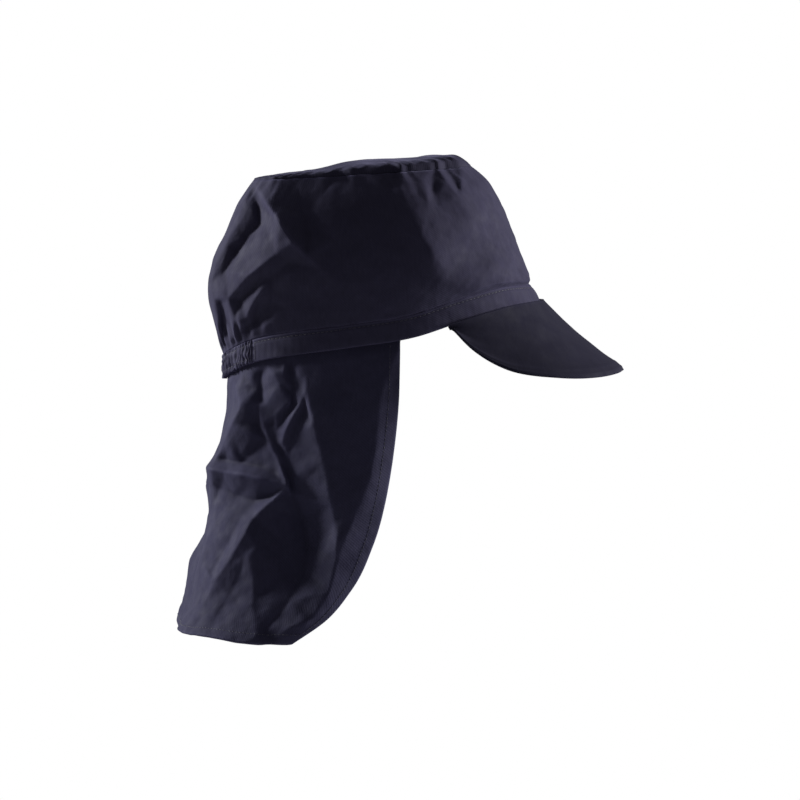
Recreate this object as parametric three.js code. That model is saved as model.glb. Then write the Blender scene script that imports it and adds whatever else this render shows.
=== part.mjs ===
// A cotton welding cap with a soft crown, a stitched band, a peak and a neck flap, in millimetres.
// +X points towards the peak, +Y to the wearer's left and +Z up; the origin is the middle of the
// head opening, where the cap sits on a head.
import * as THREE from 'three';

// Cloth
const gap = 0.3; // clearance between neighbouring pieces
const crownCloth = 1.4;
const flapCloth = 1.2;

// Head opening: the lower edge of the band, an oval that rises towards the front
const openingLength = 196;
const openingWidth = 158;
const rimRise = 46.8; // how much higher the rim is at the front than at the back
const rimLow = 26.5; // how far the back of the rim lies below the origin

// Band
const bandHeight = 13.5;
const bandHeightFront = 13; // over the peak, along its slant
const bandThickness = 2.4;
const bandProud = 0.5; // how far the band stands out from the crown wall
const bandLean = 7; // how far the front of the band leans out over the peak
const casingLength = 104; // gathered stretch of the band, measured along the rim
const gatherPitch = 6.5;
const gatherDepth = 1.3;

// Crown
const seamHeight = 104.8; // top seam at the front
const seamFall = 8.3; // how much lower the top seam is at the back
const topLength = 133.1;
const topWidth = 106;
const topForward = -11.9; // middle of the top panel
const topDome = 8;
const creaseDepth = 8;
const creaseWidth = 20;
const puckerPitch = 27;
const puckerDepth = 0.9;

// Peak
const peakThickness = 3.2;
const peakBase = 196; // length of the seam between the peak and the band
const peakReach = 51.8; // forward of the rim
const peakDrop = 42; // fall of the middle from the rim to the tip
const peakSpread = 0.6; // how far each side edge stands outside its corner

// Neck flap
const flapWidth = 302; // along the rim
const flapTuck = 8; // hidden inside the band
const flapBackDrop = 158.5;
const flapEdgeDrop = 186;
const flapSwing = 31; // how far the lower back edge stands behind the rim
const flapSweep = 66; // how far the front edges are cut away to the back
const flapSpread = 9.7; // how far each side stands out at the hem
const flapCurl = 14; // how far the front edges reach past the widest place
const flapHemDip = 4.5;
const pleatDepth = 9;
const pleatWidth = 24;

// Facets
const wallSteps = 80;
const wallRows = 12;
const topSteps = 60;
const topRings = [1, 0.94, 0.84, 0.62, 0.33]; // shares of the top panel's half width
const bandSteps = 66;
const gatherSteps = 4;
const peakSteps = 28;
const peakRows = 7;
const flapSteps = 46;
const flapRows = 16;
const tuckRows = 2;

const halfLength = openingLength / 2;
const halfWidth = openingWidth / 2;
const wallHeight = seamHeight - rimRise + rimLow;

function table(columns, ...rows) {
  return rows.map((row) => Object.fromEntries(columns.map((name, i) => [name, row[i]])));
}

// The rim's height, as a share of its rise
const rimSections = table(
  ['turn', 'rise'],
  [0, 1],
  [42, 0.94],
  [61, 0.79],
  [78, 0.605],
  [102, 0.465],
  [142, 0.262],
  [167, 0.066],
  [180, 0],
);

// The crown wall from the band to the top seam: 'in' columns run from 0 at the band to 1 at the top
// panel's edge and are negative where the cloth bulges, 'rise' columns are shares of the height
const wallSections = table(
  ['up', 'frontIn', 'sideIn', 'backIn', 'frontRise', 'backRise'],
  [0, 0, 0, 0, 0, 0],
  [0.15, 0.014, -0.098, -0.27, 0.097, 0.164],
  [0.35, 0.151, -0.157, -0.5, 0.279, 0.356],
  [0.55, 0.302, -0.059, -0.36, 0.48, 0.53],
  [0.75, 0.508, 0.196, 0.1, 0.724, 0.712],
  [0.9, 0.742, 0.588, 0.57, 0.898, 0.886],
  [1, 1, 1, 1, 1, 1],
);

// The top panel's rise over its seam along its length, from back to front
const domeSections = table(
  ['along', 'rise'],
  [0, 0],
  [0.17, 0.33],
  [0.33, 0.6],
  [0.42, 0.87],
  [0.51, 1],
  [0.6, 0.97],
  [0.74, 0.93],
  [0.8, 1],
  [0.88, 0.96],
  [0.93, 0.84],
  [0.975, 0.35],
  [1, 0],
);

// The peak's free edge from a corner to the tip
const peakSections = table(
  ['along', 'forward', 'out', 'fall'],
  [0, 0.02, 1, 0.05],
  [0.12, 0.13, 1.01, 0.48],
  [0.3, 0.34, 0.99, 0.92],
  [0.5, 0.61, 0.87, 1.08],
  [0.7, 0.83, 0.64, 1.1],
  [0.87, 0.96, 0.32, 1.04],
  [1, 1, 0, 1],
);

// The flap from the rim to its hem
const flapSections = table(
  ['down', 'backFall', 'backOut', 'edgeFall', 'edgeIn', 'spread', 'curl'],
  [0, 0, 0, 0, 0, 0, 0.75],
  [0.1, 0.112, 0.02, 0.093, 0.003, -0.03, 0.79],
  [0.25, 0.305, 0.2, 0.236, 0.018, -0.13, 0.86],
  [0.4, 0.446, 0.33, 0.39, 0.066, -0.13, 0.93],
  [0.55, 0.607, 0.46, 0.54, 0.14, 0.07, 1],
  [0.7, 0.754, 0.63, 0.676, 0.25, 0.38, 1],
  [0.85, 0.883, 0.75, 0.828, 0.46, 0.69, 1],
  [0.93, 0.945, 0.86, 0.921, 0.68, 0.85, 1],
  [1, 1, 1, 1, 1, 1, 1],
);

// Creases of the crown: the path is a list of [turn, up], and the height and the widths to the left
// and right of the path, seen from outside, are shares of the crease's depth and width. A path that
// starts or ends outside 0 to 1 runs out over an edge. The near side's creases come first.
const crownCreases = table(
  ['height', 'left', 'right', 'path'],
  [1.3, 2.2, 1.3, [[178, 1.2], [152, 0.94], [138, 0.82], [125, 0.64], [118, 0.5], [106, 0.3], [94, 0.05]]],
  [0.8, 0.6, 1.1, [[116, 0.7], [132, 0.55], [141, 0.44], [158, 0.24]]],
  [-0.9, 0.7, 0.9, [[172, 1.1], [151, 0.8], [149, 0.61], [160, 0.3]]],
  [0.3, 0.6, 0.6, [[180, 1], [170, 0.78], [176, 0.6]]],
  [-0.6, 0.45, 0.45, [[158, 0.3], [167, 0.13], [177, 0]]],
  [0.65, 0.7, 1, [[126, 0.42], [132, 0.34], [140, 0.21], [160, 0.03]]],
  [-0.45, 0.6, 0.6, [[127, 0.18], [135, 0.12], [154, 0.04]]],
  [0.25, 0.4, 0.4, [[114, 0.92], [115.5, 0.66]]],
  [0.25, 0.4, 0.4, [[66, 1.02], [76.5, 0.84]]],
  [0.55, 0.6, 1.1, [[60, 1.12], [50, 0.91], [46, 0.68]]],
  [-0.8, 0.6, 0.6, [[34, 1.2], [44, 0.88], [48, 0.74]]],
  [-0.35, 0.5, 0.5, [[51, 1.02], [59, 0.68]]],
  [0.3, 1.1, 0.6, [[22, 1.16], [31, 0.9], [48, 0.64]]],
  [0.35, 1.3, 1.3, [[46, 0.74], [78, 0.42]]],
  [-0.4, 1, 1, [[16, 0.66], [49, 0.39], [78, 0.32]]],
  [0.35, 0.6, 0.6, [[48, 0.28], [68, 0.14]]],
  [-0.5, 0.35, 0.35, [[11, 0.72], [17, 0.4], [17, 0.18], [13, 0]]],
  [0.8, 1.3, 0.8, [[186, 1.1], [214, 0.82], [232, 0.55], [250, 0.2]]],
  [0.6, 1, 0.7, [[236, 0.56], [212, 0.34], [200, 0.22]]],
  [-0.6, 0.8, 0.8, [[196, 0.9], [208, 0.6], [204, 0.4]]],
  [-0.4, 0.6, 0.6, [[234, 0.22], [212, 0.04]]],
  [-0.7, 0.6, 0.6, [[324, 1.12], [314, 0.76]]],
  [0.5, 0.6, 0.6, [[302, 1.06], [306, 0.72]]],
  [0.3, 0.6, 0.6, [[338, 1.06], [326, 0.7]]],
  [-0.4, 0.9, 0.9, [[296, 0.5], [330, 0.4]]],
);

// Pleats of the flap: the path is a list of [side, down], side from 0 at the centre back to 1 at the
// near front edge and -1 at the far one, and the rest is as for the crown
const flapPleats = table(
  ['height', 'left', 'right', 'path'],
  [0.4, 0.6, 0.6, [[0.3, -0.08], [0.22, 0.14], [0.08, 0.25]]],
  [-0.4, 0.5, 0.5, [[0.1, 0], [0.05, 0.1], [0.03, 0.22]]],
  [-0.55, 0.35, 0.35, [[0.38, -0.08], [0.39, 0.06], [0.4, 0.19]]],
  [-0.35, 0.2, 0.2, [[0.41, -0.04], [0.455, 0.035], [0.51, 0.06], [0.55, 0.06]]],
  [-0.8, 0.45, 0.35, [[0.555, -0.08], [0.56, 0.06], [0.58, 0.23]]],
  [-0.35, 0.3, 0.3, [[0.72, -0.05], [0.73, 0.16]]],
  [0.8, 0.5, 0.6, [[0.66, 0.02], [0.63, 0.13], [0.57, 0.19], [0.56, 0.26], [0.54, 0.36]]],
  [0.5, 0.35, 0.8, [[0.35, 0.06], [0.38, 0.14], [0.46, 0.23], [0.54, 0.33], [0.62, 0.46]]],
  [1.25, 2, 1.1, [[0.62, -0.02], [0.7, 0.27], [0.77, 0.44], [0.86, 0.72]]],
  [0.85, 0.6, 1, [[-0.1, 0.32], [0.01, 0.33], [0.35, 0.35], [0.49, 0.4], [0.66, 0.47]]],
  [-0.45, 0.5, 0.5, [[0.08, 0.27], [0.3, 0.28], [0.52, 0.34]]],
  [-0.35, 0.6, 0.6, [[0.03, 0.42], [0.3, 0.44], [0.57, 0.49]]],
  [0.65, 0.5, 0.9, [[0.65, 0.42], [0.54, 0.51], [0.42, 0.58]]],
  [-1.1, 1.1, 1, [[0.56, 0.45], [0.62, 0.69], [0.66, 1]]],
  [-0.4, 0.5, 0.5, [[0.71, 0.58], [0.72, 0.84]]],
  [1, 0.7, 1, [[0.41, 0.47], [0.41, 0.64], [0.3, 0.79], [0.14, 1.12]]],
  [-0.5, 0.5, 0.5, [[0.1, 0.52], [0.15, 0.62], [0.29, 0.77], [0.32, 0.85]]],
  [0.4, 0.6, 0.6, [[0.6, 0.43], [0.71, 0.55], [0.84, 0.63]]],
  [-0.4, 0.9, 0.9, [[0.74, 0.18], [0.87, 0.43], [0.89, 0.62], [0.92, 0.8]]],
  [-0.25, 0.3, 0.3, [[0.44, 0.54], [0.58, 0.92]]],
  [-0.6, 0.4, 0.4, [[-0.3, -0.08], [-0.34, 0.2]]],
  [-0.6, 0.4, 0.4, [[-0.52, -0.08], [-0.56, 0.22]]],
  [0.8, 0.9, 0.9, [[-0.42, 0.04], [-0.5, 0.3], [-0.64, 0.6]]],
  [0.6, 0.8, 0.8, [[0.06, 0.35], [-0.22, 0.42], [-0.46, 0.54]]],
  [-0.8, 0.9, 0.9, [[-0.32, 0.46], [-0.38, 0.7], [-0.36, 0.95]]],
  [0.9, 0.8, 0.8, [[-0.1, 0.5], [-0.14, 0.75], [-0.2, 1.12]]],
  [-0.5, 0.9, 0.9, [[-0.74, 0.25], [-0.84, 0.72]]],
);

// Smooth curve through one column of a table
function lookup(rows, key, column, at) {
  const last = rows.length - 1;
  const x = Math.min(Math.max(at, rows[0][key]), rows[last][key]);
  const slope = (i) => (rows[i + 1][column] - rows[i][column]) / (rows[i + 1][key] - rows[i][key]);
  const tangent = (i) => {
    if (i === 0) return slope(0);
    if (i === last) return slope(last - 1);
    const before = rows[i][key] - rows[i - 1][key];
    const after = rows[i + 1][key] - rows[i][key];
    return (slope(i - 1) * after + slope(i) * before) / (before + after);
  };
  let i = 0;
  while (i < last - 1 && x > rows[i + 1][key]) i += 1;
  const span = rows[i + 1][key] - rows[i][key];
  const t = (x - rows[i][key]) / span;
  const t2 = t * t;
  const t3 = t2 * t;
  return (2 * t3 - 3 * t2 + 1) * rows[i][column] + (t3 - 2 * t2 + t) * span * tangent(i)
    + (3 * t2 - 2 * t3) * rows[i + 1][column] + (t3 - t2) * span * tangent(i + 1);
}

const mix = THREE.MathUtils.lerp;
const radians = THREE.MathUtils.degToRad;
const degrees = THREE.MathUtils.radToDeg;
const ease = (t) => THREE.MathUtils.smoothstep(t, 0, 1);

// Height of one crease at a place, both given as flat lengths on the cloth: two nearly flat facets
// that meet in a softened crest, and that narrow and sink towards both ends of the path
function creaseHeight(place, path, left, right) {
  const crestSoftness = 0.09;
  const fadeShare = 0.32;
  const endWidth = 0.4;
  let best = { distance: Infinity };
  let before = 0;
  for (let i = 0; i < path.length - 1; i += 1) {
    const run = [path[i + 1][0] - path[i][0], path[i + 1][1] - path[i][1]];
    const off = [place[0] - path[i][0], place[1] - path[i][1]];
    const length = Math.hypot(...run);
    const t = THREE.MathUtils.clamp((off[0] * run[0] + off[1] * run[1]) / length ** 2, 0, 1);
    const distance = Math.hypot(off[0] - run[0] * t, off[1] - run[1] * t);
    if (distance < best.distance) {
      best = { distance, side: run[0] * off[1] - run[1] * off[0], along: before + t * length };
    }
    before += length;
  }
  const along = best.along / before;
  const fade = ease(Math.min(along, 1 - along) / fadeShare);
  const reach = best.distance / ((best.side > 0 ? left : right) * mix(endWidth, 1, fade));
  if (reach >= 1) return 0;
  const soft = Math.sqrt(reach * reach + crestSoftness ** 2) - crestSoftness;
  return Math.max(0, 1 - soft) ** 1.3 * fade;
}

// Half angle of the rim that a length along it covers, counted from the front or from the back
function turnOfLength(length, fromBack) {
  const step = 0.25;
  let turn = 0;
  let run = 0;
  while (run < length / 2 && turn < 180) {
    const angle = radians(fromBack ? 180 - turn : turn);
    run += Math.hypot(halfLength * Math.sin(angle), halfWidth * Math.cos(angle)) * radians(step);
    turn += step;
  }
  return turn;
}

const casingTurn = turnOfLength(casingLength, true);
const flapTurn = turnOfLength(flapWidth, true);
const peakTurn = turnOfLength(peakBase, false);

// Angles run from 0 at the front to 90 at the wearer's right, 180 at the back and 270 at the left
const fold = (turn) => Math.abs(((turn + 180) % 360 + 360) % 360 - 180);

function rimPoint(turn) {
  const angle = radians(turn);
  const rise = lookup(rimSections, 'turn', 'rise', fold(turn));
  return new THREE.Vector3(
    halfLength * Math.cos(angle), -halfWidth * Math.sin(angle), rimRise * rise - rimLow,
  );
}

function bandTopPoint(turn) {
  const front = (1 + Math.cos(radians(turn))) / 2;
  const lean = bandLean * front ** 3;
  const height = mix(bandHeight, bandHeightFront, front ** 2);
  const point = rimPoint(turn);
  point.x -= lean;
  point.z += Math.sqrt(height ** 2 - lean ** 2);
  return point;
}

// The outside of the band between the rim at 0 and the crown wall at 1
const bandPoint = (turn, up) => rimPoint(turn).lerp(bandTopPoint(turn), up);

function seamPoint(turn) {
  const angle = radians(turn);
  return new THREE.Vector3(
    topForward + (topLength / 2) * Math.cos(angle),
    -(topWidth / 2) * Math.sin(angle),
    seamHeight - (seamFall * (1 - Math.cos(angle))) / 2,
  );
}

// The crown wall's outside before its creases, up from 0 at the band to 1 under the top panel
function wallPoint(turn, up) {
  const front = (1 + Math.cos(radians(turn))) / 2;
  const side = Math.abs(Math.sin(radians(turn)));
  const at = (column) => lookup(wallSections, 'up', column, up);
  const low = bandTopPoint(turn);
  const high = seamPoint(turn);
  high.z -= crownCloth + gap;
  const alongIn = mix(at('backIn'), at('frontIn'), front);
  const rise = mix(at('backRise'), at('frontRise'), front);
  return new THREE.Vector3(
    mix(low.x, high.x, alongIn),
    mix(low.y, high.y, mix(alongIn, at('sideIn'), side)),
    mix(low.z, high.z, rise),
  );
}

function domePoint(turn, out) {
  const point = seamPoint(turn);
  const x = mix(topForward, point.x, out);
  const y = point.y * out;
  const along = 0.5 + (x - topForward) / topLength;
  const halfHere = (topWidth / 2) * Math.sqrt(Math.max(1e-6, 1 - (2 * along - 1) ** 2));
  const across = Math.max(0, 1 - (y / halfHere) ** 2) ** 0.6;
  const chord = seamHeight - seamFall * (1 - along);
  const rise = topDome * lookup(domeSections, 'along', 'rise', along) * across;
  return new THREE.Vector3(x, y, chord + rise);
}

const flatArc = radians(1) * (openingLength + openingWidth) / 4;

function crownCrease(turn, up) {
  let height = 0;
  for (const crease of crownCreases) {
    const nearest = ([pathTurn, pathUp]) => {
      const wrapped = ((pathTurn - turn + 540) % 360) - 180;
      return [-(wrapped + turn) * flatArc, pathUp * wallHeight];
    };
    height += creaseDepth * crease.height * creaseHeight(
      [-turn * flatArc, up * wallHeight], crease.path.map(nearest), creaseWidth * crease.left, creaseWidth * crease.right,
    );
  }
  const puckers = Math.round((topLength + topWidth) * Math.PI / 2 / puckerPitch);
  const pucker = puckerDepth * Math.cos(radians(turn) * puckers) * ease((up - 0.7) / 0.25);
  const clearOfBand = ease(up / 0.1);
  const clearOfTop = mix(1, 0.35, ease((up - 0.85) / 0.15));
  return (height * clearOfTop + pucker) * clearOfBand;
}

// Place on the band's inside where the flap is tucked, with the flap's outside gap clear of the band
function tuckPoint(turn, up) {
  const inset = bandThickness - bandProud + gap;
  return bandPoint(turn, up).addScaledVector(normalOf(bandPoint, turn, up), -inset);
}

// The flap's outside before its pleats: side from -1 to 1 round the back, down from 0 at the rim
// to 1 at the hem, and below 0 where it is tucked into the band
function flapPoint(side, down) {
  const atRim = 180 - side * flapTurn;
  if (down < 0) return tuckPoint(atRim, -down * (flapTuck / bandHeight));
  const at = (column) => lookup(flapSections, 'down', column, down);
  const plan = (share) => {
    const back = tuckPoint(180, 0);
    const edge = tuckPoint(180 - flapTurn, 0);
    back.x -= flapSwing * at('backOut') * share;
    back.z -= flapBackDrop * at('backFall') * share;
    edge.x -= flapSweep * at('edgeIn') * share;
    edge.z -= flapEdgeDrop * at('edgeFall') * share;
    const curl = share ? flapCurl * at('curl') : edge.x;
    const centre = edge.x - curl;
    const depth = centre - back.x;
    const widest = Math.acos(THREE.MathUtils.clamp(-curl / depth, -1, 1));
    const angle = side * widest;
    const wide = halfWidth - (bandThickness - bandProud + gap) + flapSpread * at('spread') * share;
    const inPlan = (1 - Math.cos(angle)) / (1 - Math.cos(widest));
    const dip = share * flapHemDip * Math.sin(Math.PI * inPlan ** 2) * down ** 4;
    return new THREE.Vector3(
      centre - depth * Math.cos(angle), -wide * Math.sin(angle), mix(back.z, edge.z, inPlan) - dip,
    );
  };
  const fromRim = tuckPoint(atRim, 0).sub(plan(0)).multiplyScalar((1 - down) ** 3);
  return plan(1).add(fromRim);
}

function flapPleat(side, down) {
  if (down <= 0) return 0;
  const round = flapWidth / 2;
  let height = 0;
  for (const pleat of flapPleats) {
    const flat = ([pathSide, pathDown]) => [pathSide * round, -pathDown * flapEdgeDrop];
    height += pleatDepth * pleat.height * creaseHeight(
      flat([side, down]), pleat.path.map(flat), pleatWidth * pleat.left, pleatWidth * pleat.right,
    );
  }
  return height * ease(down / 0.07);
}

// Outward normal of a surface that is given as a function of its two places
function normalOf(surface, across, up) {
  const stepAcross = 1e-3;
  const stepUp = 1e-4;
  const alongFirst = surface(across + stepAcross, up).sub(surface(across - stepAcross, up));
  const alongSecond = surface(across, up + stepUp).sub(surface(across, up - stepUp));
  return alongSecond.cross(alongFirst).normalize();
}

const even = (count, from, to) => Array.from({ length: count + 1 }, (_, i) => mix(from, to, i / count));

// A closed mesh between two equal grids of points; the grids are wrapped if they run all round
function clothShell(outer, inner, wraps) {
  const columns = outer.length;
  const rows = outer[0].length;
  const points = [...outer.flat(), ...inner.flat()];
  const index = (layer, i, j) => layer * columns * rows + (i % columns) * rows + j;
  const faces = [];
  const quad = (a, b, c, d) => faces.push(a, b, c, a, c, d);
  const spans = wraps ? columns : columns - 1;
  for (let i = 0; i < spans; i += 1) {
    for (let j = 0; j < rows - 1; j += 1) {
      quad(index(0, i, j), index(0, i, j + 1), index(0, i + 1, j + 1), index(0, i + 1, j));
      quad(index(1, i, j), index(1, i + 1, j), index(1, i + 1, j + 1), index(1, i, j + 1));
    }
    quad(index(0, i, 0), index(0, i + 1, 0), index(1, i + 1, 0), index(1, i, 0));
    const top = rows - 1;
    quad(index(0, i, top), index(1, i, top), index(1, i + 1, top), index(0, i + 1, top));
  }
  if (!wraps) {
    const end = columns - 1;
    for (let j = 0; j < rows - 1; j += 1) {
      quad(index(0, 0, j), index(1, 0, j), index(1, 0, j + 1), index(0, 0, j + 1));
      quad(index(0, end, j), index(0, end, j + 1), index(1, end, j + 1), index(1, end, j));
    }
  }
  return closedGeometry(points, faces);
}

// A closed mesh between an upper and a lower disc of rings, each with its middle point last
function clothDisc(upper, lower, steps) {
  const points = [...upper, ...lower];
  const faces = [];
  const rings = (upper.length - 1) / steps;
  const index = (layer, ring, i) => layer * upper.length + ring * steps + (i % steps);
  for (let i = 0; i < steps; i += 1) {
    for (let ring = 0; ring < rings - 1; ring += 1) {
      const upperQuad = [index(0, ring, i), index(0, ring, i + 1), index(0, ring + 1, i + 1), index(0, ring + 1, i)];
      const lowerQuad = [index(1, ring, i), index(1, ring + 1, i), index(1, ring + 1, i + 1), index(1, ring, i + 1)];
      for (const [a, b, c, d] of [upperQuad, lowerQuad]) faces.push(a, b, c, a, c, d);
    }
    const last = rings - 1;
    faces.push(index(0, last, i), index(0, last, i + 1), upper.length - 1);
    faces.push(index(1, last, i + 1), index(1, last, i), points.length - 1);
    faces.push(index(0, 0, i), index(1, 0, i), index(1, 0, i + 1));
    faces.push(index(0, 0, i), index(1, 0, i + 1), index(0, 0, i + 1));
  }
  return closedGeometry(points, faces);
}

// Geometry whose faces point out, whichever way its grids ran
function closedGeometry(points, faces) {
  let volume = 0;
  for (let i = 0; i < faces.length; i += 3) {
    const [a, b, c] = [points[faces[i]], points[faces[i + 1]], points[faces[i + 2]]];
    volume += a.dot(b.clone().cross(c));
  }
  const outward = [];
  for (let i = 0; i < faces.length; i += 3) {
    const [a, b, c] = faces.slice(i, i + 3);
    outward.push(...(volume > 0 ? [a, b, c] : [a, c, b]));
  }
  const geometry = new THREE.BufferGeometry();
  geometry.setAttribute('position', new THREE.Float32BufferAttribute(points.flatMap((p) => p.toArray()), 3));
  geometry.setIndex(outward);
  geometry.computeVertexNormals();
  return geometry;
}

// Outer and inner grids of a cloth whose height over its plain form is given by a function
function clothGrids(surface, height, thickness, across, ups) {
  const layer = (depth) => across.map((a) => ups.map(
    (u) => surface(a, u).addScaledVector(normalOf(surface, a, u), height(a, u) - depth),
  ));
  return [layer(0), layer(thickness)];
}

function crownWall() {
  const turns = even(wallSteps, 0, 360).slice(0, -1);
  const grids = clothGrids(wallPoint, crownCrease, crownCloth, turns, even(wallRows, 0, 1));
  return clothShell(...grids, true);
}

function crownTop() {
  const turns = even(topSteps, 0, 360).slice(0, -1);
  const layer = (depth) => {
    const rings = topRings;
    const points = rings.flatMap((out) => turns.map((turn) => domePoint(turn, out)));
    points.push(domePoint(0, 0));
    return points.map((point) => point.setZ(point.z - depth));
  };
  return clothDisc(layer(0), layer(crownCloth), topSteps);
}

// The band's top edge stays a gap below the crown wall
const bandRows = [0, 0.5, 1 - gap / bandHeight];

function hemBand() {
  const seam = degrees(gap / halfLength);
  const turns = even(bandSteps, casingTurn - 180 + seam, 180 - casingTurn - seam);
  const soft = 0.35; // how far the folded band bulges between its edges
  const height = (turn, up) => bandProud + soft * Math.sin(Math.PI * up);
  return clothShell(...clothGrids(bandPoint, height, bandThickness, turns, bandRows), false);
}

function elasticCasing() {
  const gathers = Math.round(casingLength / gatherPitch);
  const turns = even(gathers * gatherSteps, 180 - casingTurn, 180 + casingTurn);
  const height = (turn) => {
    const phase = (turn - 180 + casingTurn) / (2 * casingTurn) * gathers;
    return bandProud + gatherDepth * (1 - Math.cos(2 * Math.PI * phase)) / 2;
  };
  const [outer] = clothGrids(bandPoint, height, bandThickness, turns, bandRows);
  const [, inner] = clothGrids(bandPoint, () => bandProud, bandThickness, turns, bandRows);
  return clothShell(outer, inner, false);
}

// The peak's upper side: across from -1 to 1 along the seam, out from 0 at the band to 1 at the edge
function peakPoint(across, out) {
  const turn = across * peakTurn;
  const corner = rimPoint(peakTurn);
  const along = 1 - Math.abs(across);
  const at = (column) => lookup(peakSections, 'along', column, along);
  const tip = rimPoint(0).z - peakDrop;
  const edge = new THREE.Vector3(
    mix(corner.x, halfLength + peakReach, at('forward')),
    Math.sign(across) * (corner.y - peakSpread * Math.sin(Math.PI * along)) * at('out'),
    mix(corner.z, tip, at('fall')),
  );
  const base = rimPoint(turn);
  const down = bandTopPoint(turn).sub(base).normalize();
  base.addScaledVector(down, -gap);
  return base.lerp(edge, out);
}

function peak() {
  const across = even(peakSteps, -1, 1);
  const outs = even(peakRows, 0, 1);
  const edgeThin = 0.8; // the peak thins towards its free edge
  const top = across.map((a) => outs.map((o) => peakPoint(a, o)));
  const under = across.map((a) => outs.map((o) => {
    const depth = peakThickness - edgeThin * o;
    return peakPoint(a, o).setZ(peakPoint(a, o).z - depth);
  }));
  return clothShell(top, under, false);
}

function neckFlap() {
  const sides = even(flapSteps, -1, 1);
  const downs = [...even(tuckRows, -1, 0).slice(0, -1), ...even(flapRows, 0, 1)];
  const grids = clothGrids(flapPoint, flapPleat, flapCloth, sides, downs);
  return clothShell(...grids, false);
}

const navyCloth = new THREE.MeshStandardMaterial({ color: 0x20203a, roughness: 0.9, metalness: 0 });
const peakCloth = new THREE.MeshStandardMaterial({ color: 0x26263e, roughness: 0.85, metalness: 0 });

const cap = new THREE.Group();
const pieces = {
  crown_wall: [crownWall, navyCloth],
  crown_top: [crownTop, navyCloth],
  hem_band: [hemBand, navyCloth],
  elastic_casing: [elasticCasing, navyCloth],
  peak: [peak, peakCloth],
  neck_flap: [neckFlap, navyCloth],
};
for (const [name, [make, material]] of Object.entries(pieces)) {
  const mesh = new THREE.Mesh(make(), material);
  mesh.name = name;
  cap.add(mesh);
}

export default cap;
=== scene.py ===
"""Dress the welding cap: cloth, seams, gathers, stitches, materials, lights and camera."""

import logging
import math
from dataclasses import dataclass, field
from enum import Enum
from typing import Callable, Sequence

import bpy
import numpy as np
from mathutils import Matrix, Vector, geometry


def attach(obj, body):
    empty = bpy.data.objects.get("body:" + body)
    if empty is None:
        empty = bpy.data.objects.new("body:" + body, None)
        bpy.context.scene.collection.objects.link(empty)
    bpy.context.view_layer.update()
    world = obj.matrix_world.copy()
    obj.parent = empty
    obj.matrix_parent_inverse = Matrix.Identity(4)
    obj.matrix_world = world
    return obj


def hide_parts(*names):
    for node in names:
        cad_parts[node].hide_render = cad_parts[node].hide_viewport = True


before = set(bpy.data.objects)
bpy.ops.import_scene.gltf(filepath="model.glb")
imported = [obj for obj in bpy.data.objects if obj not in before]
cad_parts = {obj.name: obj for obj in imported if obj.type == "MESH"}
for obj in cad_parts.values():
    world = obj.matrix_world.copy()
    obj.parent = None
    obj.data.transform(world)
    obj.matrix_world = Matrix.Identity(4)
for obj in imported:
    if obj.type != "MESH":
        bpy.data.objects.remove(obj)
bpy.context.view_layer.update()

MM = 0.001  # sizes are in millimetres, meshes in metres
GAP = 0.3  # between sewn pieces of the solids
SEAM = 0.02  # between sewn pieces here, so that no light shows through
Array = np.ndarray
Surface = Callable[[Array, Array], Array]
Place = tuple[float, float, float]
Folds = tuple[tuple[Place, ...], ...]
Faces = Sequence[Sequence[int]]
Material = bpy.types.Material
Object = bpy.types.Object
Socket = bpy.types.NodeSocket
Inputs = dict[str | int, object]
Pair = tuple[float, float]
LOG = logging.getLogger("welding_cap")


class Tone(Enum):
    """Which dye lot a cloth piece is cut from, and for the peak a much darker tone that is painted shade.
    """

    CROWN = (0.036, 0.033, 0.066)
    FLAP = (0.0345, 0.0325, 0.068)
    # painted shade: the peak's navy is darkened well below the crown's so that the peak reads as shaded
    PEAK_SHADE = (0.0125, 0.0115, 0.027)


class Run(Enum):
    """Which way a cloth grid runs."""

    ROUND = True
    OPEN = False


@dataclass(frozen=True)
class Table:
    """Rows of numbers under named columns; the first column says where each row lies."""

    columns: tuple[str, ...]
    rows: tuple[tuple[float, ...], ...]

    def at(self, column: str, where: Array) -> Array:
        """Smooth curve through one column.

        Args:
            column: the name of the column.
            where: places in the first column's own measure.

        Returns:
            The column's value at each place.
        """
        values = np.array(self.rows, dtype=float)
        x = values[:, 0]
        y = values[:, self.columns.index(column)]
        spans = np.diff(x)
        slopes = np.diff(y) / spans
        tangents = np.empty_like(y)
        tangents[0], tangents[-1] = slopes[0], slopes[-1]
        tangents[1:-1] = (slopes[:-1] * spans[1:] + slopes[1:] * spans[:-1]) / (spans[:-1] + spans[1:])
        inside = np.clip(where, x[0], x[-1])
        i = np.clip(np.searchsorted(x, inside, side="right") - 1, 0, len(spans) - 1)
        t = (inside - x[i]) / spans[i]
        return (
            (2 * t**3 - 3 * t**2 + 1) * y[i]
            + (t**3 - 2 * t**2 + t) * spans[i] * tangents[i]
            + (3 * t**2 - 2 * t**3) * y[i + 1]
            + (t**3 - t**2) * spans[i] * tangents[i + 1]
        )


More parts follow.
